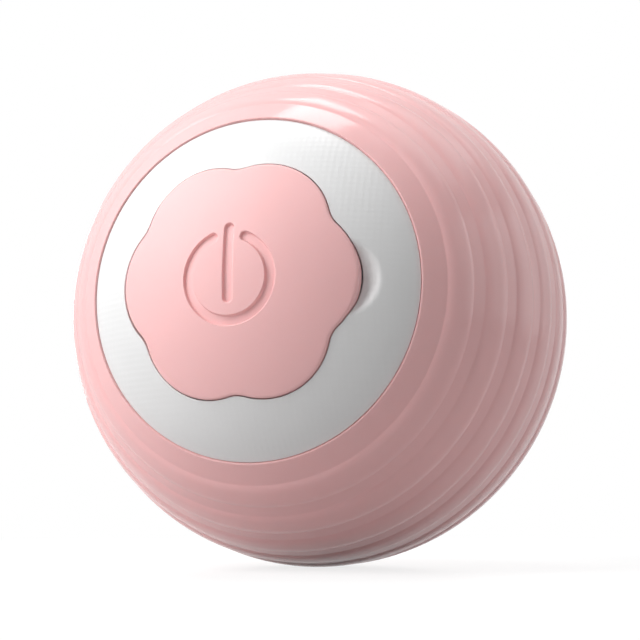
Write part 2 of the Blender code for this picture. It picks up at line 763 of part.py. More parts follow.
def make_flower_cover():
    """The silicone flower: lobed outline, domed top, power sign sunk in it and a plug for the port.

    Its origin is on the axis that it lifts about.
    """
    top = FLOWER_RADIUS + OVERRUN
    hinge = Vector((-LOBE_TIP, 0, HINGE_HEIGHT))
    flower = extruded(flower_outline(), FLOWER_UNDERSIDE, top)
    flower.data.transform(Matrix.Translation(-hinge))
    as_part(flower, "flower_cover", FLOWER_SILICONE, hinge)
    keep_inside(flower, as_cutter(dome(FLOWER_RADIUS), "flower_dome"))
    sunk = as_cutter(dome(FLOWER_RADIUS - ICON_DEPTH), "icon_floor")
    low = FLOWER_UNDERSIDE + ICON_DEPTH
    for name, outline in (("icon_ring", icon_ring()), ("icon_bar", bar_outline())):
        sign = as_cutter(extruded(outline, low, top), name)
        cut(sign, sunk)
        cut(flower, sign)
    inset = -PORT_WALL - PLUG_GAP
    plug = stadium(PORT_WIDTH, PORT_HEIGHT, inset)
    plug = extruded(plug, POCKET_FLOOR - PLUG_REACH, FLOWER_UNDERSIDE + FUSE)
    join(flower, as_cutter(plug, "port_plug"))


def make_tether_strap():
    high = FLOWER_UNDERSIDE - AXIAL_GAP
    strap = box(STRAP_LENGTH, STRAP_WIDTH, high - STRAP_THICKNESS, high)
    as_part(strap, "tether_strap", FLOWER_SILICONE, (STRAP_LENGTH / 2 - STRAP_END, 0, 0))


def make_power_key():
    """The key that the flower presses, with a flange that keeps it behind the pocket's floor."""
    key = cylinder(KEY_RADIUS, KEY_BACK, FLOWER_UNDERSIDE - AXIAL_GAP)
    as_part(key, "power_key", BLACK_RESIN)
    flange = cylinder(KEY_FLANGE_RADIUS, KEY_BACK, KEY_BACK + KEY_FLANGE_THICKNESS)
    join(key, as_cutter(flange, "key_flange"))


def make_switch():
    """The switch on the board and its plunger, which reaches up to the key."""
    body = as_part(box(SWITCH_SIDE, SWITCH_SIDE, BOARD_SEAT, SWITCH_TOP), "switch_body", BLACK_RESIN)
    well = cylinder(PLUNGER_RADIUS + SLIDE_GAP, PLUNGER_FOOT - PRESS_TRAVEL - SEAT_GAP, PLUNGER_TOP)
    cut(body, as_cutter(well, "plunger_well"))
    as_part(cylinder(PLUNGER_RADIUS, PLUNGER_FOOT, PLUNGER_TOP), "switch_plunger", NATURAL_NYLON)


# Charging port


def make_usb_port():
    """The upright metal receptacle, its mouth just under the pocket's floor, and the tongue inside."""
    mouth = POCKET_FLOOR - SEAT_GAP
    port = as_part(extruded(stadium(PORT_WIDTH, PORT_HEIGHT), BOARD_SEAT, mouth), "usb_port", PLATED_STEEL)
    inner_floor = BOARD_SEAT + PORT_BASE
    bore = extruded(stadium(PORT_WIDTH, PORT_HEIGHT, -PORT_WALL), inner_floor, mouth + OVERRUN)
    cut(port, as_cutter(bore, "port_bore"))
    tongue = box(TONGUE_WIDTH, TONGUE_THICKNESS, inner_floor + SEAT_GAP, POCKET_FLOOR - TONGUE_DEPTH)
    as_part(tongue, "usb_tongue", BLACK_RESIN, (0, -PORT_DROP, 0))


# Circuit board and what is on it


def make_board():
    disc = cylinder(BOARD_RADIUS, BOARD_BACK, BOARD_FRONT, TURN_STEPS)
    board = as_part(disc, "circuit_board", SOLDER_MASK)
    for i, degrees in enumerate(BOARD_SCREW_DEGS):
        x, y = on_circle(BOARD_SCREW_REACH, degrees)
        hole = bore(SCREW_RADIUS + SCREW_GAP, BOARD_BACK - OVERRUN, BOARD_FRONT + OVERRUN, SCREW_STEPS)
        cut(board, as_cutter(hole, f"board_hole_{i + 1}", (x, y, 0)))
        make_screw(f"board_screw_{i + 1}", x, y, BOARD_BACK)
    chip = box(CHIP_SIDE, CHIP_SIDE, BOARD_SEAT, BOARD_SEAT + CHIP_HEIGHT)
    chip_rise = SWITCH_SIDE / 2 + CHIP_GAP + CHIP_SIDE / 2
    as_part(chip, "control_chip", BLACK_RESIN, (0, chip_rise, 0))
    sensor = box(SENSOR_WIDTH, SENSOR_LENGTH, BOARD_SEAT, BOARD_SEAT + SENSOR_HEIGHT)
    sensor_reach = BOARD_RADIUS - SENSOR_EDGE - SENSOR_WIDTH / 2
    as_part(sensor, "shake_sensor", PLATED_STEEL, (-sensor_reach, 0, 0))
    led = box(LED_WIDTH, LED_LENGTH, BOARD_SEAT, BOARD_SEAT + LED_HEIGHT)
    led_reach = BOARD_RADIUS - LED_EDGE - LED_WIDTH / 2
    as_part(led, "status_led", NATURAL_NYLON, (led_reach, LED_RISE, 0))


def make_screw(name, x, y, seat, length=0.0):
    """A pan head under its seat and a shank through it, with a slot across the head."""
    under = seat - SEAT_GAP
    screw = cylinder(SCREW_RADIUS, under - SCREW_HEAD_HEIGHT / 2, seat + (length or SCREW_HOLD), SCREW_STEPS)
    as_part(screw, name, PLATED_STEEL, (x, y, 0))
    head = cylinder(SCREW_HEAD_RADIUS, under - SCREW_HEAD_HEIGHT, under, SCREW_STEPS)
    join(screw, as_cutter(head, f"{name}_head", (x, y, 0)))
    low = under - SCREW_HEAD_HEIGHT
    slot = box(SCREW_SLOT_WIDTH, 2 * SCREW_HEAD_RADIUS + OVERRUN, low - OVERRUN, low + SCREW_SLOT_DEPTH)
    cut(screw, as_cutter(slot, f"{name}_slot", (x, y, 0)))


# Battery


def make_battery():
    """A flat pouch cell with soft edges, on a foam pad."""
    cell = box(BATTERY_LENGTH, BATTERY_WIDTH, BATTERY_BACK, BATTERY_FRONT)
    as_part(cell, "battery_cell", POUCH_FOIL)
    bevel = cell.modifiers.new("edges", "BEVEL")
    bevel.width = BATTERY_EDGE
    bevel.segments = 2
    pad_length = BATTERY_LENGTH - 2 * PAD_MARGIN
    pad_width = BATTERY_WIDTH - 2 * PAD_MARGIN
    pad = box(pad_length, pad_width, PAD_BACK, PAD_BACK + PAD_THICKNESS)
    as_part(pad, "battery_pad", GREY_FOAM)


# Gears


def involute(angle):
    return math.tan(angle) - angle


def gear_outline(teeth):
    """Involute teeth round a gear, one of them centred on X, with stub tips and room for backlash."""
    pitch = MODULE * teeth / 2
    base = pitch * math.cos(math.radians(PRESSURE_DEG))
    root = pitch - DEDENDUM_SHARE * MODULE
    tip = pitch + ADDENDUM_SHARE * MODULE
    at_pitch = math.pi / (2 * teeth) - BACKLASH / (2 * pitch)
    flank = []
    for radius in (root, pitch, tip):
        pressure = math.acos(min(1, base / radius))
        half = at_pitch + involute(math.radians(PRESSURE_DEG)) - involute(pressure)
        flank.append((radius, math.degrees(half)))
    points = []
    for tooth in range(teeth):
        centre = 360 * tooth / teeth
        points += [on_circle(radius, centre - half) for radius, half in flank]
        points += [on_circle(radius, centre + half) for radius, half in reversed(flank)]
    return points


def mesh_phase(teeth, phase, mate_teeth, towards):
    """The mate's angle that puts its tooth space opposite this gear's tooth, on the line between centres."""
    lag = math.pi - teeth * (phase - towards)
    return lag / mate_teeth + towards + math.pi


def gear_centres():
    """Where the two axles stand, the first above the motor and the second where both its meshes close."""
    first = on_circle(FIRST_DISTANCE, FIRST_AXLE_DEG)
    cosine = FIRST_DISTANCE**2 + SECOND_DISTANCE**2 - BETWEEN_DISTANCE**2
    cosine /= 2 * FIRST_DISTANCE * SECOND_DISTANCE
    second_deg = FIRST_AXLE_DEG + math.degrees(math.acos(cosine))
    return first, on_circle(SECOND_DISTANCE, second_deg)


def direction(start, end):
    return math.atan2(end[1] - start[1], end[0] - start[0])


def compound_gear(name, look, centre, turn, wheel, pinion, hub=None):
    """A wheel with its pinion and hub joined to it, bored for the axle. Each is (outline, low, high)."""
    gear = as_part(extruded(*wheel), name, look, (*centre, 0), turn)
    join(gear, as_cutter(extruded(*pinion), f"{name}_pinion", (*centre, 0), turn))
    if hub:
        join(gear, as_cutter(cylinder(*hub), f"{name}_hub", (*centre, 0), turn))
    hole = bore(AXLE_RADIUS + RUN_GAP, OUTPUT_BACK - OVERRUN, FRAME_BACK, AXLE_STEPS)
    cut(gear, as_cutter(hole, f"{name}_bore", (*centre, 0), turn))


def make_gears():
    motor = (0, 0)
    first, second = gear_centres()
    first_turn = mesh_phase(MOTOR_TEETH, 0, FIRST_TEETH, direction(motor, first))
    compound_gear(
        "first_gear",
        NATURAL_NYLON,
        first,
        first_turn,
        (gear_outline(FIRST_TEETH), FIRST_PLANE_LOW, FIRST_PLANE_HIGH),
        (gear_outline(FIRST_PINION_TEETH), SECOND_PLANE_LOW, FIRST_PLANE_LOW + FUSE),
    )
    between = direction(first, second)
    second_turn = mesh_phase(FIRST_PINION_TEETH, first_turn, SECOND_TEETH, between)
    compound_gear(
        "second_gear",
        NATURAL_NYLON,
        second,
        second_turn,
        (gear_outline(SECOND_TEETH), SECOND_PLANE_LOW, SECOND_PLANE_HIGH),
        (gear_outline(SECOND_PINION_TEETH), OUTPUT_BACK, SECOND_PLANE_LOW + FUSE),
        (HUB_RADIUS, SECOND_PLANE_HIGH - FUSE, FIRST_PLANE_HIGH, AXLE_STEPS),
    )
    home = direction(second, motor)
    output_turn = mesh_phase(SECOND_PINION_TEETH, second_turn, OUTPUT_TEETH, home)
    make_output_gear(output_turn)
    make_pinion()
    for name, centre, low in (("first_axle", first, COVER_BACK), ("second_axle", second, OUTPUT_BACK)):
        axle = cylinder(AXLE_RADIUS, low, FRAME_FRONT, AXLE_STEPS)
        as_part(axle, name, PLATED_STEEL, (*centre, 0))


def half_flange():
    """The lower half of a disc, which carries the weight, closed over the bore by a straight top."""
    pieces = TURN_STEPS // 2
    return [on_circle(FLANGE_RADIUS, -180 * (1 - i / pieces)) for i in range(pieces + 1)]


def make_output_gear(turn):
    """The last gear: teeth and hub running on the cover's spigot, with a half flange for the weight."""
    gear = extruded(gear_outline(OUTPUT_TEETH), OUTPUT_BACK, OUTPUT_FRONT)
    gear.data.transform(Matrix.Rotation(turn, 4, "Z"))
    as_part(gear, "output_gear", NATURAL_NYLON)
    hub = cylinder(OUTPUT_HUB_RADIUS, FLANGE_BACK + FLANGE_THICKNESS / 2, OUTPUT_BACK + FUSE, TURN_STEPS)
    join(gear, as_cutter(hub, "output_hub"))
    ring = cylinder(OUTPUT_HUB_RADIUS, FLANGE_BACK, FLANGE_FRONT, TURN_STEPS)
    flange = as_cutter(extruded(half_flange(), FLANGE_BACK, FLANGE_FRONT), "output_flange")
    join(flange, as_cutter(ring, "output_ring"))
    join(gear, flange)
    hole = bore(SPIGOT_RADIUS + SPIGOT_RUN_GAP, FLANGE_BACK - OVERRUN, COVER_BACK, TURN_STEPS)
    cut(gear, as_cutter(hole, "output_bore"))
    for i, degrees in enumerate(WEIGHT_SCREW_DEGS):
        hole = bore(SCREW_RADIUS + SCREW_GAP, FLANGE_BACK - OVERRUN, OUTPUT_FRONT, SCREW_STEPS)
        cut(gear, as_cutter(hole, f"flange_hole_{i + 1}", (*on_circle(WEIGHT_SCREW_REACH, degrees), 0)))


def make_pinion():
    """The motor's brass pinion on its shaft, which turns in the motor's front boss."""
    pinion = extruded(gear_outline(MOTOR_TEETH), FIRST_PLANE_LOW, FIRST_PLANE_HIGH)
    as_part(pinion, "motor_pinion", TURNED_BRASS)
    hole = bore(AXLE_RADIUS + RUN_GAP, FIRST_PLANE_LOW - OVERRUN, FIRST_PLANE_HIGH + OVERRUN, AXLE_STEPS)
    cut(pinion, as_cutter(hole, "motor_pinion_bore"))
    shaft = cylinder(AXLE_RADIUS, MOTOR_FRONT - OVERRUN, FIRST_PLANE_HIGH, AXLE_STEPS)
    as_part(shaft, "motor_shaft", PLATED_STEEL)


# Gear frame and cover


def make_gear_frame():
    """The plate that holds the axles' front ends, with three spacers down to the cover."""
    frame = as_part(cylinder(PLATE_RADIUS, FRAME_BACK, FRAME_FRONT, TURN_STEPS), "gear_frame", BLACK_RESIN)
    for i, degrees in enumerate(SPACER_DEGS):
        at = (*on_circle(SPACER_REACH, degrees), 0)
        spacer = cylinder(SPACER_RADIUS, COVER_FRONT + SEAT_GAP, FRAME_BACK + FUSE)
        join(frame, as_cutter(spacer, f"spacer_{i + 1}", at))
        pilot = bore(SCREW_RADIUS + SCREW_GAP, COVER_BACK, COVER_BACK + SCREW_HOLD + SEAT_GAP, SCREW_STEPS)
        cut(frame, as_cutter(pilot, f"spacer_pilot_{i + 1}", at))
    for i, degrees in enumerate(FRAME_POST_DEGS):
        x, y = on_circle(FRAME_POST_REACH, degrees)
        hole = bore(SCREW_RADIUS + SCREW_GAP, FRAME_BACK - OVERRUN, FRAME_FRONT + OVERRUN, SCREW_STEPS)
        cut(frame, as_cutter(hole, f"frame_hole_{i + 1}", (x, y, 0)))
        make_screw(f"frame_screw_{i + 1}", x, y, FRAME_BACK)
    bore_axles(frame, FRAME_BACK, FRAME_FRONT, "frame")
    for side in (-1, 1):
        hole = cylinder(LEAD_HOLE_RADIUS, FRAME_BACK - OVERRUN, FRAME_FRONT + OVERRUN, SCREW_STEPS)
        cut(frame, as_cutter(hole, f"frame_lead_hole_{side + 2}", (side * LEAD_SIDE, -LEAD_BOARD_DROP, 0)))


def bore_axles(plate, low, high, name):
    for i, centre in enumerate(gear_centres()):
        hole = bore(AXLE_RADIUS + RUN_GAP, low - OVERRUN, high + OVERRUN, AXLE_STEPS)
        cut(plate, as_cutter(hole, f"{name}_axle_bore_{i + 1}", (*centre, 0)))


def cover_profile():
    """The cover's section: a disc with the motor's hole and the grooved spigot of the last gear."""
    groove = SPIGOT_RADIUS - CLIP_GROOVE_DEPTH
    return [
        (PLATE_RADIUS, COVER_FRONT),
        (PLATE_RADIUS, COVER_BACK),
        (SPIGOT_RADIUS, COVER_BACK),
        (SPIGOT_RADIUS, CLIP_FRONT + RUN_GAP),
        (groove, CLIP_FRONT + RUN_GAP),
        (groove, CLIP_BACK - RUN_GAP),
        (SPIGOT_RADIUS, CLIP_BACK - RUN_GAP),
        (SPIGOT_RADIUS, SPIGOT_BACK),
        (SPIGOT_BORE, SPIGOT_BACK),
        (SPIGOT_BORE, COVER_BACK),
        (MOTOR_BOSS_RADIUS + SEAT_GAP, COVER_BACK),
        (MOTOR_BOSS_RADIUS + SEAT_GAP, COVER_FRONT),
    ]


def make_gear_cover():
    cover = as_part(turned(cover_profile(), closed=True), "gear_cover", BLACK_RESIN)
    for i, degrees in enumerate(SPACER_DEGS):
        x, y = on_circle(SPACER_REACH, degrees)
        hole = bore(SCREW_RADIUS + SCREW_GAP, COVER_BACK - OVERRUN, COVER_FRONT + OVERRUN, SCREW_STEPS)
        cut(cover, as_cutter(hole, f"cover_hole_{i + 1}", (x, y, 0)))
        make_screw(f"cover_screw_{i + 1}", x, y, COVER_BACK)
    first, second = gear_centres()
    hole = bore(AXLE_RADIUS + RUN_GAP, COVER_BACK - OVERRUN, COVER_FRONT + OVERRUN, AXLE_STEPS)
    cut(cover, as_cutter(hole, "cover_axle_bore", (*first, 0)))
    tip = MODULE * (SECOND_PINION_TEETH / 2 + ADDENDUM_SHARE)
    hole = cylinder(tip + AXIAL_GAP, COVER_BACK - OVERRUN, COVER_FRONT + OVERRUN)
    cut(cover, as_cutter(hole, "cover_pinion_hole", (*second, 0)))
    for side in (-1, 1):
        hole = cylinder(LEAD_HOLE_RADIUS, COVER_BACK - OVERRUN, COVER_FRONT + OVERRUN, SCREW_STEPS)
        at = (side * LEAD_SIDE, -lead_drop(), 0)
        cut(cover, as_cutter(hole, f"cover_lead_hole_{side + 2}", at))


def lead_drop():
    """How far below the axle a lead runs beside the motor."""
    return math.sqrt(LEAD_RUN_RADIUS**2 - LEAD_SIDE**2)


def make_retaining_ring():
    inner = SPIGOT_RADIUS - CLIP_GROOVE_DEPTH + RUN_GAP
    outer = CLIP_RADIUS
    profile = [(outer, CLIP_FRONT), (outer, CLIP_BACK), (inner, CLIP_BACK), (inner, CLIP_FRONT)]
    as_part(turned(profile, closed=True), "retaining_ring", PLATED_STEEL)


# Motor


def make_motor():
    """The steel can with its front boss, the resin end cap with its tail and the two terminals."""
    can = as_part(cylinder(MOTOR_RADIUS, MOTOR_BACK, MOTOR_FRONT), "motor_can", PLATED_STEEL)
    boss = cylinder(MOTOR_BOSS_RADIUS, MOTOR_FRONT - FUSE, MOTOR_FRONT + MOTOR_BOSS_LENGTH)
    join(can, as_cutter(boss, "motor_boss"))
    hole = bore(AXLE_RADIUS + RUN_GAP, MOTOR_FRONT - 2 * OVERRUN, COVER_FRONT, AXLE_STEPS)
    cut(can, as_cutter(hole, "motor_bore"))
    disc = cylinder(MOTOR_CAP_RADIUS, MOTOR_CAP_BACK, MOTOR_CAP_FRONT)
    cap = as_part(disc, "motor_end_cap", NATURAL_NYLON)
    tail = cylinder(MOTOR_TAIL_RADIUS, MOTOR_CAP_BACK - MOTOR_TAIL_LENGTH, MOTOR_CAP_FRONT - FUSE)
    join(cap, as_cutter(tail, "motor_tail"))
    for i, side in enumerate((-1, 1)):
        high = MOTOR_CAP_BACK - SEAT_GAP
        terminal = box(TERMINAL_WIDTH, TERMINAL_THICKNESS, high - TERMINAL_LENGTH, high)
        as_part(terminal, f"motor_terminal_{i + 1}", TURNED_BRASS, (side * TERMINAL_X, -TERMINAL_DROP, 0))


# Swing weight


def weight_profile():
    """The weight's section, its back and outer side following the inside of the ball."""
    front = EQUATOR_DEG + math.degrees(math.asin(-WEIGHT_FRONT / WEIGHT_RADIUS))
    back = EQUATOR_DEG + math.degrees(math.asin(-WEIGHT_BACK / WEIGHT_RADIUS))
    profile = arc(WEIGHT_RADIUS, front, back, WEIGHT_PIECES)
    profile.append((WEIGHT_BORE, WEIGHT_BACK))
    profile.append((WEIGHT_BORE, WEIGHT_FRONT))
    return profile



def make_swing_weight():
    """The steel half ring that hangs under the axle, screwed to the last gear's flange."""
    weight = as_part(turned(weight_profile(), closed=True), "swing_weight", CAST_WEIGHT)
    side = 2 * (WEIGHT_RADIUS + OVERRUN)
    upper = box(side, side, WEIGHT_BACK - OVERRUN, WEIGHT_FRONT + OVERRUN)
    cut(weight, as_cutter(upper, "weight_upper_half", (0, side / 2, 0)))
    seat = WEIGHT_BACK + SCREW_HEAD_HEIGHT + SEAT_GAP
    for i, degrees in enumerate(WEIGHT_SCREW_DEGS):
        x, y = on_circle(WEIGHT_SCREW_REACH, degrees)
        hole = bore(SCREW_RADIUS + SCREW_GAP, WEIGHT_BACK - OVERRUN, FLANGE_BACK, SCREW_STEPS)
        cut(weight, as_cutter(hole, f"weight_hole_{i + 1}", (x, y, 0)))
        sink = cylinder(SCREW_HEAD_RADIUS + SCREW_GAP, WEIGHT_BACK - OVERRUN, seat, SCREW_STEPS)
        cut(weight, as_cutter(sink, f"weight_sink_{i + 1}", (x, y, 0)))
        make_screw(f"weight_screw_{i + 1}", x, y, seat, FLANGE_FRONT - SEAT_GAP - seat)


# Leads


def make_leads():
    """The motor's leads, run beside it to the board, and the battery's."""
    drop = lead_drop()
    terminal_end = MOTOR_CAP_BACK - SEAT_GAP - TERMINAL_LENGTH / 2
    start_drop = TERMINAL_DROP + TERMINAL_THICKNESS / 2 + LEAD_RADIUS + SEAT_GAP
    board = BOARD_BACK - SEAT_GAP
    for i, side in enumerate((-1, 1)):
        route = [
            (side * TERMINAL_X, -start_drop, terminal_end),
            (side * LEAD_SIDE, -drop, MOTOR_BACK),
            (side * LEAD_SIDE, -drop, WEIGHT_BACK),
            (side * LEAD_SIDE, -drop, WEIGHT_FRONT),
            (side * LEAD_SIDE, -drop, COVER_BACK),
            (side * LEAD_SIDE, -drop, COVER_FRONT),
            (side * LEAD_SIDE, -LEAD_BOARD_DROP, FRAME_BACK),
            (side * LEAD_SIDE, -LEAD_BOARD_DROP, FRAME_FRONT),
            (side * LEAD_SIDE, -LEAD_BOARD_DROP, board),
        ]
        as_part(curved(route, LEAD_RADIUS), f"motor_lead_{i + 1}", RED_LEAD if side > 0 else BLACK_RESIN)
        edge = BATTERY_LENGTH / 2 + SEAT_GAP
        height = (BATTERY_BACK + BATTERY_FRONT) / 2
        out = edge + BATTERY_LEAD_STEP
        route = [
            (edge, side * BATTERY_LEAD_SIDE, height),
            (out, side * BATTERY_LEAD_SIDE, height + BATTERY_LEAD_STEP),
            (out, side * BATTERY_LEAD_SIDE, board),
        ]
        as_part(curved(route, LEAD_RADIUS), f"battery_lead_{i + 1}", RED_LEAD if side > 0 else BLACK_RESIN)


def settle_modifiers():
    """Keep each modifier's result as the object's own mesh, shaded smooth where it is round."""
    graph = bpy.context.evaluated_depsgraph_get()
    solids = [obj for obj in PARTS.objects if obj.type == "MESH"]
    meshes = [bpy.data.meshes.new_from_object(obj.evaluated_get(graph)) for obj in solids]
    for obj, mesh in zip(solids, meshes):
        obj.modifiers.clear()
        obj.data = mesh
        mesh.shade_smooth()
        mesh.set_sharp_from_angle(angle=math.radians(SHARP_DEG))


clear_scene()
PARTS = new_collection("self_rolling_cat_ball")
CUTTERS = new_collection("cutters")
AXLE = new_axle_frame()
make_tread_sleeve()
make_front_shell()
make_rear_shell()
make_flower_cover()
make_tether_strap()
make_power_key()
make_switch()
make_usb_port()
make_board()
make_battery()
make_gears()
make_gear_frame()
make_gear_cover()
make_retaining_ring()
make_motor()
make_swing_weight()
make_leads()
settle_modifiers()
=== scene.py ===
import math

import bmesh
import bpy
import numpy as np
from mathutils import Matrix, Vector


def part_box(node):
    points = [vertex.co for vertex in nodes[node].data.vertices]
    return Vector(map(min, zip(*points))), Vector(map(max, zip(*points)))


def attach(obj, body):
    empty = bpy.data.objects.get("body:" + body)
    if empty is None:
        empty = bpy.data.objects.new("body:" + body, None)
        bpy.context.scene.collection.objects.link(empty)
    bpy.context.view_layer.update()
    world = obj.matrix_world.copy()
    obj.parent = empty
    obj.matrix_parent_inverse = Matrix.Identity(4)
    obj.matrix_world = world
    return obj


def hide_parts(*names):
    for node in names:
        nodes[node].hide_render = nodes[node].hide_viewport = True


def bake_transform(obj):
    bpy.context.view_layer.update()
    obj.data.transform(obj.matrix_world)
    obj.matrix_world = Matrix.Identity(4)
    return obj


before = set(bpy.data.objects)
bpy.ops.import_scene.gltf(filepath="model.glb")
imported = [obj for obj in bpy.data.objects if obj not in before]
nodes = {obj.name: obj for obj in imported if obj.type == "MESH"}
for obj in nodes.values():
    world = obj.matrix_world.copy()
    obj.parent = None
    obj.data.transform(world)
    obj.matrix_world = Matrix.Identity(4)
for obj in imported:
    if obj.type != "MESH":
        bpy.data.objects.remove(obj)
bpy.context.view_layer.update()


# Front shell.
# A moulded ABS half ball with a fine spark-eroded grain. Its disc shows inside the tread's opening, with
# the flower's lobed pocket sunk in it, and a finger notch scooped out at the pocket's right.

axle_low, axle_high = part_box("motor_can")
AXLE_HEIGHT = (axle_low.z + axle_high.z) / 2
AROUND = 360
angles = np.linspace(0, 2 * math.pi, AROUND, endpoint=False)


def ring(reach, out):
    """A closed row of points round the axle, at a reach from it and a height out through the face."""
    reach = np.broadcast_to(reach, angles.shape)
    out = np.broadcast_to(out, angles.shape)
    up = AXLE_HEIGHT + reach * np.sin(angles)
    return np.stack((reach * np.cos(angles), -out, up), axis=1)


def polar_ring(radius, degrees):
    """A row at an angle from the face's pole."""
    angle = math.radians(degrees)
    return ring(radius * math.sin(angle), radius * math.cos(angle))


def arc_rows(radius, start, end, pieces):
    return [polar_ring(radius, start + (end - start) * i / pieces) for i in range(pieces + 1)]


def settle(obj, sharp_degrees=35):
    """Merge doubles, turn every face outwards and shade it smooth but for its real edges."""
    work = bmesh.new()
    work.from_mesh(obj.data)
    bmesh.ops.remove_doubles(work, verts=work.verts, dist=1e-7)
    bmesh.ops.recalc_face_normals(work, faces=work.faces)
    work.to_mesh(obj.data)
    work.free()
    obj.data.shade_smooth()
    obj.data.set_sharp_from_angle(angle=math.radians(sharp_degrees))
    return obj


def from_faces(name, points, faces):
    mesh = bpy.data.meshes.new(name)
    mesh.from_pydata(points, [], faces)
    obj = bpy.data.objects.new(name, mesh)
    bpy.context.scene.collection.objects.link(obj)
    return obj


def loft(name, rows):
    """A closed skin through rows of points, the first and the last drawn in to their middles."""
    count = len(rows[0])
    points = [rows[0].mean(0), *np.concatenate(rows), rows[-1].mean(0)]
    last = len(points) - 1
    foot = last - count
    faces = []
    for i in range(count):
        j = (i + 1) % count
        faces.append((0, 1 + i, 1 + j))
        faces.append((last, foot + j, foot + i))
        for row in range(len(rows) - 1):
            near = 1 + row * count
            far = near + count
            faces.append((near + i, far + i, far + j, near + j))
    return from_faces(name, [tuple(p) for p in points], faces)


def keep_result(obj):
    """Turn what a piece's modifier makes into its own plain mesh, and remove the modifier."""
    graph = bpy.context.evaluated_depsgraph_get()
    mesh = bpy.data.meshes.new_from_object(obj.evaluated_get(graph))
    obj.modifiers.clear()
    obj.data = mesh
    return obj


def combine(obj, other, operation="DIFFERENCE"):
    """Cut the other solid out of obj or join it on, and drop the other."""
    change = obj.modifiers.new(operation.lower(), "BOOLEAN")
    change.object = other
    change.operation = operation
    change.solver = "EXACT"
    keep_result(obj)
    bpy.data.objects.remove(other)
    return obj


def prism(outline, low, high, name="prism"):
    """A solid of one outline in the face's plane, between two heights along the axle."""
    count = len(outline)
    points = [(x, -h, AXLE_HEIGHT + y) for h in (low, high) for x, y in outline]
    faces = [(i, (i + 1) % count, count + (i + 1) % count, count + i) for i in range(count)]
    faces += [tuple(range(count)), tuple(range(2 * count - 1, count - 1, -1))]
    return settle(from_faces(name, points, faces))


def circle(radius, x=0.0, y=0.0, sides=48):
    steps = [2 * math.pi * i / sides for i in range(sides)]
    return [(x + radius * math.cos(a), y + radius * math.sin(a)) for a in steps]


def stadium(width, height, rise, sides=12):
    """A long outline with round ends, its middle at a rise from the axle."""
    half = height / 2
    reach = width / 2 - half
    turns = [math.pi * i / sides - math.pi / 2 for i in range(sides + 1)]
    right = [(reach + half * math.cos(a), half * math.sin(a) + rise) for a in turns]
    return right + [(-x, 2 * rise - y) for x, y in right]


def slab(width, height, x=0.0, y=0.0):
    w, h = width / 2, height / 2
    return [(x - w, y - h), (x + w, y - h), (x + w, y + h), (x - w, y + h)]


LOBES = 6
LOBE_CENTRE = 0.00406
LOBE_RADIUS = 0.0052
LOBE_SWEEP = math.radians(25.5)


def flower_reach(grow=0.0):
    """The flower's outline at every angle: six round lobes, with small fillets in the valleys."""
    half = math.pi / LOBES
    off = np.abs((angles + half) % (2 * half) - half)

    def lobe(a):
        return LOBE_CENTRE * np.cos(a) + np.sqrt(LOBE_RADIUS**2 - (LOBE_CENTRE * np.sin(a)) ** 2)

    step = 1e-5
    slope = (lobe(LOBE_SWEEP + step) - lobe(LOBE_SWEEP - step)) / (2 * step)
    past = np.maximum(off - LOBE_SWEEP, 0)
    valley = lobe(LOBE_SWEEP) + slope * (past - past**2 / (2 * (half - LOBE_SWEEP)))
    return np.where(off < LOBE_SWEEP, lobe(off), valley) + grow


FACE_RADIUS = 0.0212
SHELL_RADIUS = 0.01985
SHELL_INNER_RADIUS = 0.01835
DISC_EDGE_DEG = 38.6
SEAT_GAP = 0.0002
POCKET_GAP = 0.00007
HINGE_GAP = 0.0002
POCKET_FLOOR = 0.01765
FLOOR_INNER = 0.01615
POCKET_EDGE = 0.00005
DISC_ROUND = 0.00005
RIM_FALL_START = 0.0115
RIM_FALL_WIDTH = 0.0017
RIM_FALL = 0.0001
NOTCH_RADIUS = 0.0052
NOTCH_REACH = 0.00822
NOTCH_FALL = 0.0002
NOTCH_DISH_RADIUS = 0.003
NOTCH_EDGE = 0.00015
LIP_RADIUS = 0.019
LIP_LENGTH = 0.0015


def face_height(reach):
    """The disc's height out from the ball's centre. It falls off a little to its rim, and the finger
    notch is let softly into it."""
    fall = RIM_FALL * (np.maximum(reach - RIM_FALL_START, 0) / RIM_FALL_WIDTH) ** 2
    dome = np.sqrt(FACE_RADIUS**2 - reach**2) - fall
    tilt = math.asin(NOTCH_REACH / FACE_RADIUS)
    lift = FACE_RADIUS + math.sqrt(NOTCH_RADIUS**2 - NOTCH_DISH_RADIUS**2)
    x = reach * np.cos(angles) - lift * math.sin(tilt)
    y = reach * np.sin(angles) + NOTCH_FALL
    inside = NOTCH_RADIUS**2 - x**2 - y**2
    dish = lift * math.cos(tilt) - np.sqrt(np.maximum(inside, 0))
    dish = np.where(inside > 0, dish, FACE_RADIUS)
    share = np.clip(0.5 + 0.5 * (dish - dome) / NOTCH_EDGE, 0, 1)
    return dish * (1 - share) + dome * share - NOTCH_EDGE * share * (1 - share)


def pocket_outline():
    """The pocket's wall round the flower: close to it, with more room on the left where it hinges."""
    left = np.clip((-np.cos(angles) - 0.6) / 0.35, 0, 1)
    return flower_reach(POCKET_GAP + (HINGE_GAP - POCKET_GAP) * left * left * (3 - 2 * left))


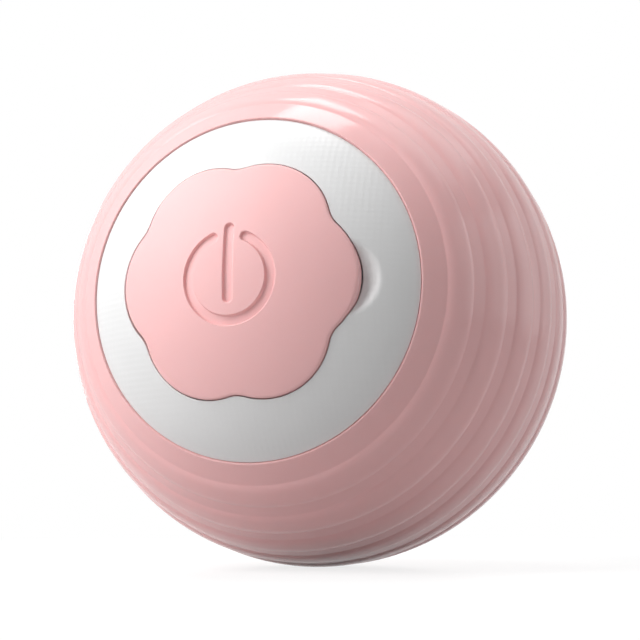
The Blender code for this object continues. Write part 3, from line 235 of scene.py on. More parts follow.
def pocket_rows():
    """The pocket from the middle of its floor out, up its wall and over its softened edge."""
    outline = pocket_outline()
    rows = [ring(outline * share, POCKET_FLOOR) for share in (0.01, 0.25, 0.5, 0.75, 0.9)]
    fillet = 0.0002
    for i in range(5):
        a = math.radians(90 * i / 4)
        rows.append(ring(outline - fillet * (1 - math.sin(a)), POCKET_FLOOR + fillet * (1 - math.cos(a))))
    top = face_height(outline + POCKET_EDGE) - POCKET_EDGE
    low = POCKET_FLOOR + fillet
    rows += [ring(outline, low + (top - low) * share) for share in (0.3, 0.6, 0.85)]
    for i in range(6):
        a = math.radians(90 * i / 5)
        rows.append(ring(outline + POCKET_EDGE * (1 - math.cos(a)), top + POCKET_EDGE * math.sin(a)))
    return rows


def disc_rows():
    """The disc outside the pocket, out to its rounded rim and down its edge."""
    start = pocket_outline() + POCKET_EDGE
    turn = math.degrees(DISC_ROUND / FACE_RADIUS)
    end = FACE_RADIUS * math.sin(math.radians(DISC_EDGE_DEG - turn))
    rows = []
    for i in range(1, 45):
        reach = start + (end - start) * i / 44
        rows.append(ring(reach, face_height(reach)))
    rim_radius = math.hypot(end, float(face_height(np.full(AROUND, end))[0]))
    for i in range(1, 6):
        a = math.radians(90 * i / 5)
        radius = rim_radius - DISC_ROUND * (1 - math.cos(a))
        rows.append(polar_ring(radius, DISC_EDGE_DEG - turn * (1 - math.sin(a))))
    return rows


OVERRUN = 0.001
FRAME_POST_RADIUS = 0.0016
BOARD_POST_RADIUS = 0.0013
POST_ROOT = 0.0003
POST_WALL_RADIUS = 0.0191
PILOT_RADIUS = 0.0007


def add_posts(shell, screw, count, carried, radius, meets_wall):
    """Posts behind the floor, one for each screw of what they carry, with pilot holes in them."""
    seat = -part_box(carried)[0].y + SEAT_GAP
    for i in range(count):
        low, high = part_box(f"{screw}_{i + 1}")
        x = (low.x + high.x) / 2
        y = (low.z + high.z) / 2 - AXLE_HEIGHT
        post = prism(circle(radius, x, y, 32), seat, FLOOR_INNER + POST_ROOT)
        if meets_wall:
            wall = loft("wall", arc_rows(POST_WALL_RADIUS, 0.5, 179.5, 60))
            combine(post, settle(wall), "INTERSECT")
        combine(shell, post, "UNION")
        combine(shell, prism(circle(PILOT_RADIUS, x, y, 24), seat - OVERRUN, -low.y + SEAT_GAP))


face_rows = pocket_rows() + disc_rows()
face_rows += arc_rows(SHELL_RADIUS, DISC_EDGE_DEG, 90, 24)
face_rows += [ring(LIP_RADIUS, 0.0), ring(LIP_RADIUS, -LIP_LENGTH), ring(SHELL_INNER_RADIUS, -LIP_LENGTH)]
flat_edge = math.degrees(math.acos(FLOOR_INNER / SHELL_INNER_RADIUS))
face_rows += arc_rows(SHELL_INNER_RADIUS, 90, flat_edge, 18)
flat_reach = SHELL_INNER_RADIUS * math.sin(math.radians(flat_edge))
face_rows += [ring(flat_reach * share, FLOOR_INNER) for share in (0.6, 0.2)]
front_shell = settle(loft("face_shell", face_rows))
add_posts(front_shell, "frame_screw", 3, "gear_frame", FRAME_POST_RADIUS, True)
add_posts(front_shell, "board_screw", 2, "circuit_board", BOARD_POST_RADIUS, False)
port_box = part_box("usb_port")
PORT_RISE = (port_box[0].z + port_box[1].z) / 2 - AXLE_HEIGHT
PORT_OPENING = (0.00934, 0.00366)
KEY_OPENING_RADIUS = 0.0022
for opening in (stadium(*PORT_OPENING, PORT_RISE), circle(KEY_OPENING_RADIUS)):
    combine(front_shell, prism(opening, FLOOR_INNER - OVERRUN, POCKET_FLOOR + OVERRUN))
strap_low, strap_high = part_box("tether_strap")
STRAP_LEFT_END = -0.00895
CHANNEL_WIDTH = 0.0034
CHANNEL_DEPTH_BELOW_STRAP = 0.0006
CHANNEL_LEFT_GAP = 0.0001
CHANNEL_RIGHT_GAP = 0.0002
CHANNEL_RISE = 0.0002
channel_left, channel_right = STRAP_LEFT_END - CHANNEL_LEFT_GAP, strap_high.x + CHANNEL_RIGHT_GAP
channel = slab(channel_right - channel_left, CHANNEL_WIDTH, (channel_left + channel_right) / 2)
channel_floor = -strap_high.y - CHANNEL_DEPTH_BELOW_STRAP
combine(front_shell, prism(channel, channel_floor, POCKET_FLOOR + CHANNEL_RISE))
settle(front_shell)


def fill(tree, node, inputs):
    """Set or link a node's inputs, given by name or number."""
    for key, value in inputs.items():
        socket = node.inputs[key]
        if isinstance(value, bpy.types.NodeSocket):
            tree.links.new(value, socket)
        else:
            socket.default_value = value


def put(tree, kind, inputs=None, **options):
    """Add a node with its options and inputs."""
    node = tree.nodes.new(kind)
    for key, value in options.items():
        setattr(node, key, value)
    fill(tree, node, inputs or {})
    return node


def sums(tree, operation, *values):
    """One arithmetic node, giving its result."""
    return put(tree, "ShaderNodeMath", dict(enumerate(values)), operation=operation).outputs[0]


def new_group(name, kind, inputs, outputs):
    """An empty node group with named sockets, its input and its output node."""
    tree = bpy.data.node_groups.new(name, kind)
    for label, (socket, value) in inputs.items():
        item = tree.interface.new_socket(name=label, in_out="INPUT", socket_type="NodeSocket" + socket)
        if value is not None:
            item.default_value = value
    for label, socket in outputs.items():
        tree.interface.new_socket(name=label, in_out="OUTPUT", socket_type="NodeSocket" + socket)
    return tree, tree.nodes.new("NodeGroupInput"), tree.nodes.new("NodeGroupOutput")


def grain_group():
    """Moulded grain: cloudy shade, patchy gloss and a fine pitted relief, all over the surface."""
    tree, given, out = new_group(
        "moulded_grain",
        "ShaderNodeTree",
        {
            "Colour": ("Color", (1, 1, 1, 1)),
            "Shade": ("Color", (1, 1, 1, 1)),
            "Roughness": ("Float", 0.5),
            "Patchiness": ("Float", 0.05),
            "Grain": ("Float", 3000.0),
            "Clouds": ("Float", 120.0),
        },
        {"Colour": "Color", "Roughness": "Float", "Height": "Float"},
    )
    place = put(tree, "ShaderNodeTexCoord").outputs["Object"]
    clouds = put(
        tree,
        "ShaderNodeTexNoise",
        {"Vector": place, "Scale": given.outputs["Clouds"], "Detail": 3.0, "Roughness": 0.55},
    ).outputs["Fac"]
    grain = put(
        tree,
        "ShaderNodeTexNoise",
        {"Vector": place, "Scale": given.outputs["Grain"], "Detail": 2.0, "Roughness": 0.6},
    ).outputs["Fac"]
    mixed = put(
        tree,
        "ShaderNodeMix",
        {0: clouds, 6: given.outputs["Colour"], 7: given.outputs["Shade"]},
        data_type="RGBA",
    ).outputs[2]
    swing = sums(tree, "MULTIPLY", sums(tree, "SUBTRACT", clouds, 0.5), given.outputs["Patchiness"])
    pitted = sums(tree, "MULTIPLY", sums(tree, "SUBTRACT", grain, 0.5), given.outputs["Patchiness"])
    rough = sums(tree, "ADD", given.outputs["Roughness"], sums(tree, "ADD", swing, pitted))
    fill(tree, out, {"Colour": mixed, "Roughness": rough, "Height": grain})
    return tree


GRAIN = grain_group()


def finish(name, colour, shade, roughness, patch, grain, clouds, relief, **sockets):
    """A material of moulded grain, its relief in metres, and plain values for the shader's other sockets."""
    look = bpy.data.materials.new(name)
    look.use_nodes = True
    tree = look.node_tree
    shader = tree.nodes["Principled BSDF"]
    texture = put(tree, "ShaderNodeGroup", node_tree=GRAIN)
    values = {
        "Colour": (*colour, 1),
        "Shade": (*shade, 1),
        "Roughness": roughness,
        "Patchiness": patch,
        "Grain": grain,
        "Clouds": clouds,
    }
    fill(tree, texture, values)
    bump = put(tree, "ShaderNodeBump", {"Distance": relief, "Height": texture.outputs["Height"]})
    links = {
        "Base Color": texture.outputs["Colour"],
        "Roughness": texture.outputs["Roughness"],
        "Normal": bump.outputs[0],
    }
    fill(tree, shader, links)
    fill(tree, shader, {key.replace("_", " "): value for key, value in sockets.items()})
    return look


def dress(obj, look):
    """The material for a finished piece or a CAD node."""
    obj.data.materials.clear()
    obj.data.materials.append(look)
    return obj


WHITE_ABS = finish(
    "white_abs", (0.79, 0.79, 0.79), (0.76, 0.76, 0.76), 0.42, 0.1, 9000, 300, 0.000006
)
TOOL_LINE_PITCH = 0.00045
TOOL_LINE_DEPTH = 0.000005
WAVE_LENGTH = math.pi / 10  # of the wave texture at a scale of 1


def add_tool_lines(look):
    """The faint crossed lines that the mould's cutter leaves in the white shell, level and upright."""
    tree = look.node_tree
    place = put(tree, "ShaderNodeTexCoord").outputs["Object"]
    height = None
    for direction in ("X", "Z"):
        options = {"bands_direction": direction, "wave_profile": "SIN"}
        scale = WAVE_LENGTH / TOOL_LINE_PITCH
        lines = {"Vector": place, "Scale": scale, "Distortion": 0.4, "Detail": 1.0, "Detail Scale": 0.3}
        wave = put(tree, "ShaderNodeTexWave", lines, **options).outputs["Fac"]
        height = wave if height is None else sums(tree, "ADD", height, wave)
    first = tree.nodes["Bump"]
    second = {"Distance": TOOL_LINE_DEPTH, "Height": height, "Normal": first.outputs[0]}
    lined = put(tree, "ShaderNodeBump", second)
    fill(tree, tree.nodes["Principled BSDF"], {"Normal": lined.outputs[0]})


add_tool_lines(WHITE_ABS)
dress(front_shell, WHITE_ABS)
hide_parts("front_shell")
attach(front_shell, "housing")


# Rear shell.
# The plain half of the same ABS: a domed disc in the tread's rear opening, a lip seat at the equator that
# takes the front half's lip, and a socket on the axle for the motor's tail.

REAR_POLE_RADIUS = 0.02135
TAIL_LENGTH = 0.001
SOCKET_DEPTH = 0.0046
SOCKET_MIDDLE = 0.0004
SOCKET_RADIUS = 0.0022
SOCKET_OUTER_RADIUS = 0.0034
SOCKET_EDGE = 0.0001
socket_mouth = -(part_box("motor_end_cap")[1].y - TAIL_LENGTH) - SEAT_GAP
socket_floor = socket_mouth - SOCKET_DEPTH
rear_rows = [ring(SOCKET_MIDDLE, socket_floor), ring(SOCKET_RADIUS - SOCKET_EDGE, socket_floor)]
rear_rows += [ring(SOCKET_RADIUS, socket_floor + SOCKET_EDGE), ring(SOCKET_RADIUS, socket_mouth)]
rear_rows += [ring(SOCKET_OUTER_RADIUS - SOCKET_EDGE, socket_mouth)]
rear_rows += [ring(SOCKET_OUTER_RADIUS, socket_mouth - SOCKET_EDGE)]
socket_foot = 180 - math.degrees(math.asin(SOCKET_OUTER_RADIUS / SHELL_INNER_RADIUS))
rear_rows += arc_rows(SHELL_INNER_RADIUS, socket_foot, 95.2, 18)
LIP_GAP = 0.00015
rear_rows += [ring(LIP_RADIUS + LIP_GAP, -LIP_LENGTH - LIP_GAP), ring(LIP_RADIUS + LIP_GAP, -LIP_GAP)]
rear_rows += [ring(SHELL_RADIUS, -LIP_GAP)]
rear_rows += arc_rows(SHELL_RADIUS, 92, 180 - DISC_EDGE_DEG, 22)
disc_turn = math.degrees(DISC_ROUND / FACE_RADIUS)
for i in range(5, -1, -1):
    a = math.radians(90 * i / 5)
    radius = FACE_RADIUS - DISC_ROUND * (1 - math.cos(a))
    rear_rows.append(polar_ring(radius, 180 - DISC_EDGE_DEG + disc_turn * (1 - math.sin(a))))
REAR_DOME_ROWS = 30
rim_angle = math.radians(DISC_EDGE_DEG - disc_turn)
rim_reach, rim_out = FACE_RADIUS * math.sin(rim_angle), FACE_RADIUS * math.cos(rim_angle)
rise = REAR_POLE_RADIUS - rim_out
curve = (rim_reach**2 + rise**2) / (2 * rise)
sweep = math.asin(rim_reach / curve)
for i in range(1, REAR_DOME_ROWS):
    a = sweep * (1 - i / REAR_DOME_ROWS)
    rear_rows.append(ring(curve * math.sin(a), curve - REAR_POLE_RADIUS - curve * math.cos(a)))
rear_shell = settle(loft("rear_dome", rear_rows))
dress(rear_shell, WHITE_ABS)
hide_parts("rear_shell")
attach(rear_shell, "housing")


# Tread sleeve.
# A moulded band of glossy pink silicone, stretched over both halves. Ten low rounded ribs run round the
# axle, evenly spaced, and beyond the last one each edge is plain, rounded over close to its white disc.


def ribbed_band_tree():
    """A band round the ball whose radius follows the ribs' rule, with a smooth wall inside it."""
    tree, given, out = new_group(
        "ribbed_band",
        "GeometryNodeTree",
        {
            "Around": ("Int", 160),
            "Along": ("Int", 540),
            "Inner Rows": ("Int", 14),
            "Land Radius": ("Float", 0.02131),
            "Rib Relief": ("Float", 0.00017),
            "Lip Round": ("Float", 0.00002),
            "Inner Radius": ("Float", 0.0201),
            "Half Sweep": ("Float", 51.2),
            "First Rib": ("Float", 4.72),
            "Rib Pitch": ("Float", 9.44),
            "Rib Width": ("Float", 6.4),
            "Rib Fullness": ("Float", 3.2),
            "Last Rib": ("Float", 4.0),
            "Axle Height": ("Float", 0.02145),
            "Material": ("Material", None),
        },
        {"Geometry": "Geometry"},
    )
    g = given.outputs

    def band(rows):
        """A flat grid, with its angle round the axle and its share along the band."""
        grid = put(
            tree,
            "GeometryNodeMeshGrid",
            {0: 1.0, 1: 1.0, 2: sums(tree, "ADD", g["Around"], 1.0), 3: sums(tree, "ADD", rows, 1.0)},
        )
        at = put(tree, "ShaderNodeSeparateXYZ", {0: put(tree, "GeometryNodeInputPosition").outputs[0]})
        return grid.outputs[0], sums(tree, "MULTIPLY", at.outputs[0], 2 * math.pi), at.outputs[1]

    def wrap(grid, around, degrees, radius):
        """The grid bent round the ball. Degrees count from the equator, towards the rear."""
        angle = sums(tree, "MULTIPLY", degrees, math.pi / 180)
        reach = sums(tree, "MULTIPLY", radius, sums(tree, "COSINE", angle))
        depth = sums(tree, "MULTIPLY", radius, sums(tree, "SINE", angle))
        x = sums(tree, "MULTIPLY", reach, sums(tree, "COSINE", around))
        up = sums(tree, "MULTIPLY", reach, sums(tree, "SINE", around))
        up = sums(tree, "ADD", up, g["Axle Height"])
        place = put(tree, "ShaderNodeCombineXYZ", {0: x, 1: depth, 2: up}).outputs[0]
        return put(tree, "GeometryNodeSetPosition", {"Geometry": grid, "Position": place}).outputs[0]

    grid, around, share = band(g["Along"])
    degrees = sums(tree, "MULTIPLY", share, sums(tree, "MULTIPLY", g["Half Sweep"], 2.0))
    off = sums(tree, "ABSOLUTE", degrees)
    turn = sums(tree, "DIVIDE", sums(tree, "SUBTRACT", off, g["First Rib"]), g["Rib Pitch"])
    turn = sums(tree, "ROUND", turn)
    turn = sums(tree, "MINIMUM", sums(tree, "MAXIMUM", turn, 0.0), g["Last Rib"])
    centre = sums(tree, "MULTIPLY_ADD", turn, g["Rib Pitch"], g["First Rib"])
    near = sums(tree, "ABSOLUTE", sums(tree, "SUBTRACT", off, centre))
    near = sums(tree, "DIVIDE", near, sums(tree, "MULTIPLY", g["Rib Width"], 0.5))
    near = sums(tree, "MINIMUM", near, 1.0)
    crown = sums(tree, "SUBTRACT", 1.0, sums(tree, "POWER", near, g["Rib Fullness"]))
    rib = sums(tree, "MULTIPLY", crown, g["Rib Relief"])
    edge = sums(tree, "SUBTRACT", g["Half Sweep"], off)
    lip = sums(tree, "DIVIDE", sums(tree, "MULTIPLY", g["Lip Round"], 180 / math.pi), g["Land Radius"])
    lip = sums(tree, "DIVIDE", edge, lip)
    lip = sums(tree, "SUBTRACT", 1.0, sums(tree, "MINIMUM", lip, 1.0))
    drop = sums(tree, "SQRT", sums(tree, "SUBTRACT", 1.0, sums(tree, "POWER", lip, 2.0)))
    drop = sums(tree, "MULTIPLY", sums(tree, "SUBTRACT", 1.0, drop), g["Lip Round"])
    radius = sums(tree, "SUBTRACT", sums(tree, "ADD", g["Land Radius"], rib), drop)
    skin = wrap(grid, around, degrees, radius)

    grid, around, share = band(g["Inner Rows"])
    row = sums(tree, "MULTIPLY", share, g["Inner Rows"])
    half = sums(tree, "MULTIPLY", g["Inner Rows"], 0.5)
    inner_half = sums(tree, "SUBTRACT", half, 1.0)
    degrees = sums(tree, "MINIMUM", sums(tree, "DIVIDE", row, inner_half), 1.0)
    degrees = sums(tree, "MULTIPLY", sums(tree, "MAXIMUM", degrees, -1.0), g["Half Sweep"])
    last = sums(tree, "MAXIMUM", sums(tree, "SUBTRACT", sums(tree, "ABSOLUTE", row), inner_half), 0.0)
    top = sums(tree, "SUBTRACT", g["Land Radius"], g["Lip Round"])
    wall = sums(tree, "MULTIPLY", last, sums(tree, "SUBTRACT", top, g["Inner Radius"]))
    liner = wrap(grid, around, degrees, sums(tree, "ADD", g["Inner Radius"], wall))
    both = tree.nodes.new("GeometryNodeJoinGeometry")
    tree.links.new(skin, both.inputs[0])
    tree.links.new(liner, both.inputs[0])
    merged = put(tree, "GeometryNodeMergeByDistance", {"Geometry": both.outputs[0], "Distance": 2e-6})
    real = put(tree, "GeometryNodeRealizeInstances", {0: merged.outputs[0]})
    made = put(tree, "GeometryNodeSetMaterial", {"Geometry": real.outputs[0], "Material": g["Material"]})
    tree.links.new(made.outputs[0], out.inputs[0])
    return tree


def grow(name, tree, values, points=((0, 0, 0),)):
    """A plain mesh made by a geometry tree over these points, with the tree's inputs set by name."""
    obj = from_faces(name, list(points), [])
    change = obj.modifiers.new(tree.name, "NODES")
    change.node_group = tree
    sockets = {item.name: item.identifier for item in tree.interface.items_tree if item.in_out == "INPUT"}
    for key, value in values.items():
        change[sockets[key]] = value
    return keep_result(obj)


PINK_SILICONE = finish(
    "glossy_pink_silicone",
    (0.92, 0.53, 0.53),
    (0.90, 0.51, 0.51),
    0.15,
    0.06,
    1400,
    90,
    0.0000015,
    Subsurface_Weight=0.12,
    Subsurface_Radius=(0.0012, 0.0006, 0.0005),
    Subsurface_Scale=1.0,
    IOR=1.4,
    Specular_IOR_Level=0.35,
    Sheen_Weight=0.5,
    Sheen_Roughness=0.4,
    Sheen_Tint=(1.0, 0.62, 0.62, 1.0),
)
sleeve_values = {"Axle Height": AXLE_HEIGHT, "Material": PINK_SILICONE}
sleeve = grow("ribbed_sleeve", ribbed_band_tree(), sleeve_values)
settle(sleeve, 50)
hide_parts("tread_sleeve")
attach(sleeve, "housing")


# Flower cover.
# The matt pink silicone button in the pocket: six lobes under a domed top that stands a little out of the
# disc, the power sign pressed into it, and a plug below that closes the charging port.

FLOWER_RADIUS = 0.02135
FLOWER_UNDERSIDE = 0.01825
FLOWER_EDGE = 0.00018
ICON_ROWS = 84
ICON_REACH = 0.0046
SIGN_RADIUS = 0.0032
SIGN_HALF_LINE = 0.00035
SIGN_GAP = math.radians(23)
SIGN_DEPTH = 0.00024
SIGN_WALL = 0.00012
BAR_TOP = 0.004
BAR_BOTTOM = -0.0019


def sign_sink(reach):
    """How deep the power sign is pressed in at a row's points: an open ring and an upright bar."""
    x, y = reach * np.cos(angles), reach * np.sin(angles)
    from_top = np.abs((angles - math.pi / 2 + math.pi) % (2 * math.pi) - math.pi)
    end_x, end_y = SIGN_RADIUS * math.sin(SIGN_GAP), SIGN_RADIUS * math.cos(SIGN_GAP)
    to_end = np.hypot(np.abs(x) - end_x, y - end_y)
    hoop = np.where(from_top < SIGN_GAP, to_end, np.abs(reach - SIGN_RADIUS))
    low, high = BAR_BOTTOM + SIGN_HALF_LINE, BAR_TOP - SIGN_HALF_LINE
    bar = np.hypot(x, y - np.clip(y, low, high))
    depth = (SIGN_HALF_LINE - np.minimum(hoop, bar)) / SIGN_WALL
    depth = np.clip(depth + 0.5, 0, 1)
    return SIGN_DEPTH * depth * depth * (3 - 2 * depth)


def flower_rows():
    outline = flower_reach()
    rows = []
    for i in range(1, ICON_ROWS + 1):
        reach = np.full(AROUND, ICON_REACH * i / ICON_ROWS)
        rows.append(ring(reach, np.sqrt(FLOWER_RADIUS**2 - reach**2) - sign_sink(reach)))
    shoulder = outline - FLOWER_EDGE
    for i in range(1, 25):
        reach = ICON_REACH + (shoulder - ICON_REACH) * i / 24
        rows.append(ring(reach, np.sqrt(FLOWER_RADIUS**2 - reach**2)))
    top = np.sqrt(FLOWER_RADIUS**2 - shoulder**2)
    slope = shoulder / top
    for i in range(1, 9):
        a = math.radians(90 * i / 8)
        fall = FLOWER_EDGE * (1 - math.cos(a)) + FLOWER_EDGE * math.sin(a) * slope * (1 - i / 16)
        rows.append(ring(shoulder + FLOWER_EDGE * math.sin(a), top - fall))
    side = top - FLOWER_EDGE - FLOWER_EDGE * slope / 2
    low = FLOWER_UNDERSIDE + 0.00015
    rows += [ring(outline, side + (low - side) * share) for share in (0.4, 0.8, 1.0)]
    rows.append(ring(outline - 0.00005, FLOWER_UNDERSIDE + 0.00004))
    rows += [ring((outline - 0.00015) * share, FLOWER_UNDERSIDE) for share in (1.0, 0.7, 0.4, 0.1)]
    return rows


flower = settle(loft("flower_button", flower_rows()))
plug = prism(stadium(0.0078, 0.00212, PORT_RISE), POCKET_FLOOR - 0.0003, FLOWER_UNDERSIDE + 0.0003)
combine(flower, plug, "UNION")
settle(flower)
MATT_SILICONE = finish(
    "matt_pink_silicone",
    (0.93, 0.54, 0.54),
    (0.91, 0.52, 0.52),
    0.55,
    0.08,
    5000,
    150,
    0.000004,
    Subsurface_Weight=0.1,
    Subsurface_Radius=(0.001, 0.0005, 0.0004),
    Subsurface_Scale=1.0,
    IOR=1.43,
)
dress(flower, MATT_SILICONE)
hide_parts("flower_cover")
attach(flower, "flower_flap")


# Tether strap.
# The short tongue of the flower's own silicone. Its right end is pressed into a channel in the pocket's
# floor and its left end is one with the flower at the hinge. It is made in its resting shape.

STRAP_PIECES = 36
half_width = (strap_high.z - strap_low.z) / 2
half_thick = (strap_high.y - strap_low.y) / 2
strap_out = -(strap_low.y + strap_high.y) / 2
turns = np.linspace(0, 2 * math.pi, 40, endpoint=False)


def strap_section(x, share):
    """The tongue's section across its length, an oblong with softened corners, drawn in by a share."""
    wide = half_width * share * np.sign(np.cos(turns)) * np.abs(np.cos(turns)) ** 0.25
    out = half_thick * share**2 * np.sign(np.sin(turns)) * np.abs(np.sin(turns)) ** 0.5
    return np.stack((np.full(turns.shape, x), -strap_out - out, AXLE_HEIGHT + wide), axis=1)


strap_ends = ((0.0, 0.8), (0.00004, 0.93), (0.00012, 1.0))
strap_rows = [strap_section(STRAP_LEFT_END + inset, share) for inset, share in strap_ends]
for i in range(1, STRAP_PIECES):
    x = STRAP_LEFT_END + (strap_high.x - STRAP_LEFT_END) * i / STRAP_PIECES
    strap_rows.append(strap_section(x, 1.0))
strap_rows += [strap_section(strap_high.x - inset, share) for inset, share in reversed(strap_ends)]
strap = settle(loft("strap_tongue", strap_rows), 60)
dress(strap, MATT_SILICONE)
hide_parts("tether_strap")
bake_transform(strap)


# Power key and switch.
# A black resin key stands in the pocket's floor under the flower, and presses the white plunger of a
# square tact switch on the board.

key_low, key_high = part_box("power_key")
KEY_RADIUS = 0.002
KEY_FLANGE_RADIUS = 0.0025
KEY_FLANGE_THICKNESS = 0.0004
KEY_EDGE = 0.00005
KEY_ROUND = 0.00025
key_back, key_front = -key_high.y, -key_low.y
flange_front = key_back + KEY_FLANGE_THICKNESS
key_rows = [ring(KEY_RADIUS * 0.15, key_back), ring(KEY_FLANGE_RADIUS - KEY_EDGE, key_back)]
key_rows += [ring(KEY_FLANGE_RADIUS, key_back + KEY_EDGE), ring(KEY_FLANGE_RADIUS, flange_front)]
key_rows += [ring(KEY_RADIUS, flange_front)]
for i in range(6):
    a = math.radians(90 * i / 5)
    reach = KEY_RADIUS - KEY_ROUND * (1 - math.cos(a))
    key_rows.append(ring(reach, key_front - KEY_ROUND * (1 - math.sin(a))))
key_rows.append(ring(KEY_RADIUS * 0.4, key_front))
power_key = settle(loft("power_key_cap", key_rows))
BLACK_ABS = finish(
    "black_abs", (0.03, 0.03, 0.032), (0.022, 0.022, 0.024), 0.42, 0.12, 5000, 250, 0.000004
)
dress(power_key, BLACK_ABS)
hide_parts("power_key")
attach(power_key, "power_button")
dress(nodes["switch_body"], BLACK_ABS)
NYLON = finish(
    "natural_nylon",
    (0.80, 0.78, 0.70),
    (0.76, 0.73, 0.64),
    0.42,
    0.1,
    3500,
    220,
    0.000003,
    Subsurface_Weight=0.05,
)
dress(nodes["switch_plunger"], NYLON)


# Charging port.
# A stamped steel receptacle with round ends stands on the board and opens in the pocket's floor. Its
# tongue carries the contacts, and the flower's plug closes it.

PORT_OUTSIDE = (0.00894, 0.00326)
PORT_INSIDE = (0.00834, 0.00266)
PORT_BACK_WALL = 0.0007
PORT_ROUND = 0.00006
port_front, port_back = -port_box[0].y, -port_box[1].y
port = prism(stadium(*PORT_OUTSIDE, PORT_RISE), port_back, port_front, "port_shell")
hollow = prism(stadium(*PORT_INSIDE, PORT_RISE), port_back + PORT_BACK_WALL, port_front + OVERRUN)
combine(port, hollow)


def soften(obj, width, segments):
    """Round a piece's sharp edges."""
    change = obj.modifiers.new("edges", "BEVEL")
    change.width = width
    change.segments = segments
    change.limit_method = "ANGLE"
    change.angle_limit = math.radians(40)
    return settle(keep_result(obj), 50)


soften(port, PORT_ROUND, 2)


def metal(name, colour, shade, roughness, streak):
    """Metal drawn or rolled one way: long faint streaks in its gloss and relief, over cloudy grain."""
    look = finish(name, colour, shade, roughness, 0.12, 2500, 300, 0.000002, Metallic=1.0)
    tree = look.node_tree
    place = put(tree, "ShaderNodeTexCoord").outputs["Object"]
    drawn = put(tree, "ShaderNodeMapping", {"Vector": place, "Scale": streak})
    lines = put(tree, "ShaderNodeTexNoise", {"Vector": drawn.outputs[0], "Scale": 1.0, "Detail": 3.0})
    under = tree.nodes["Bump"].outputs[0]
    over = {"Distance": 0.000002, "Height": lines.outputs[0], "Normal": under}
    streaked = put(tree, "ShaderNodeBump", over)
    fill(tree, tree.nodes["Principled BSDF"], {"Normal": streaked.outputs[0]})
    return look


TIN_STEEL = metal("tinned_steel", (0.60, 0.61, 0.62), (0.52, 0.53, 0.54), 0.3, (400, 6000, 400))
dress(port, TIN_STEEL)
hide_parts("usb_port")
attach(port, "housing")
dress(nodes["usb_tongue"], BLACK_ABS)


# Circuit board.
# A round glass-epoxy board under green solder mask, on two posts behind the pocket's floor. It carries
# the control chip, the shake sensor in its can and the status lamp.


def board_look():
    """Solder mask over woven glass, with the traces showing faintly through it."""
    look = finish(
        "green_solder_mask", (0.02, 0.15, 0.07), (0.015, 0.12, 0.055), 0.35, 0.1, 2500, 400, 0.000002
    )
    tree = look.node_tree
    place = put(tree, "ShaderNodeTexCoord").outputs["Object"]
    traces = put(
        tree, "ShaderNodeTexBrick", {"Vector": place, "Scale": 260.0, "Mortar Size": 0.06}, offset=0.37
    )
    weave = put(tree, "ShaderNodeTexWave", {"Vector": place, "Scale": 900.0}, bands_direction="X")
    shades = {"Color1": (1, 1, 1, 1), "Color2": (0.9, 0.9, 0.9, 1), "Mortar": (0.3, 0.3, 0.3, 1)}
    fill(tree, traces, shades)
    mask = sums(tree, "MULTIPLY", weave.outputs["Fac"], 0.08)
    tint = put(
        tree,
        "ShaderNodeMix",
        {0: mask, 6: tree.nodes["Group"].outputs["Colour"], 7: (0.05, 0.28, 0.12, 1)},
        data_type="RGBA",
    )
    over = put(
        tree,
        "ShaderNodeMix",
        {0: 0.6, 6: tint.outputs[2], 7: traces.outputs[0]},
        data_type="RGBA",
        blend_type="MULTIPLY",
    )
    fill(tree, tree.nodes["Principled BSDF"], {"Base Color": over.outputs[2]})
    return look


dress(nodes["circuit_board"], board_look())
dress(nodes["control_chip"], BLACK_ABS)
dress(nodes["shake_sensor"], TIN_STEEL)
LAMP_RESIN = finish("lamp_resin", (0.85, 0.85, 0.78), (0.82, 0.80, 0.70), 0.25, 0.05, 2500, 400, 0.000001)
dress(nodes["status_led"], LAMP_RESIN)


# Battery.
# A flat lithium pouch sealed in dull aluminium film. A pad of grey foam tape behind it sticks it to the
# front of the gear frame.

POUCH_FOIL = metal("pouch_foil", (0.62, 0.63, 0.65), (0.55, 0.56, 0.58), 0.4, (1500, 1500, 300))
dress(nodes["battery_cell"], POUCH_FOIL)
GREY_FOAM = finish("grey_foam", (0.25, 0.25, 0.26), (0.16, 0.16, 0.17), 0.92, 0.08, 2200, 900, 0.00008)
dress(nodes["battery_pad"], GREY_FOAM)


# Leads.
# Thin stranded wires in red and black PVC, their bare tinned ends soldered on. The motor's two run beside
# it through the cover and the frame to the board, and the battery's two bend from its end to the board.


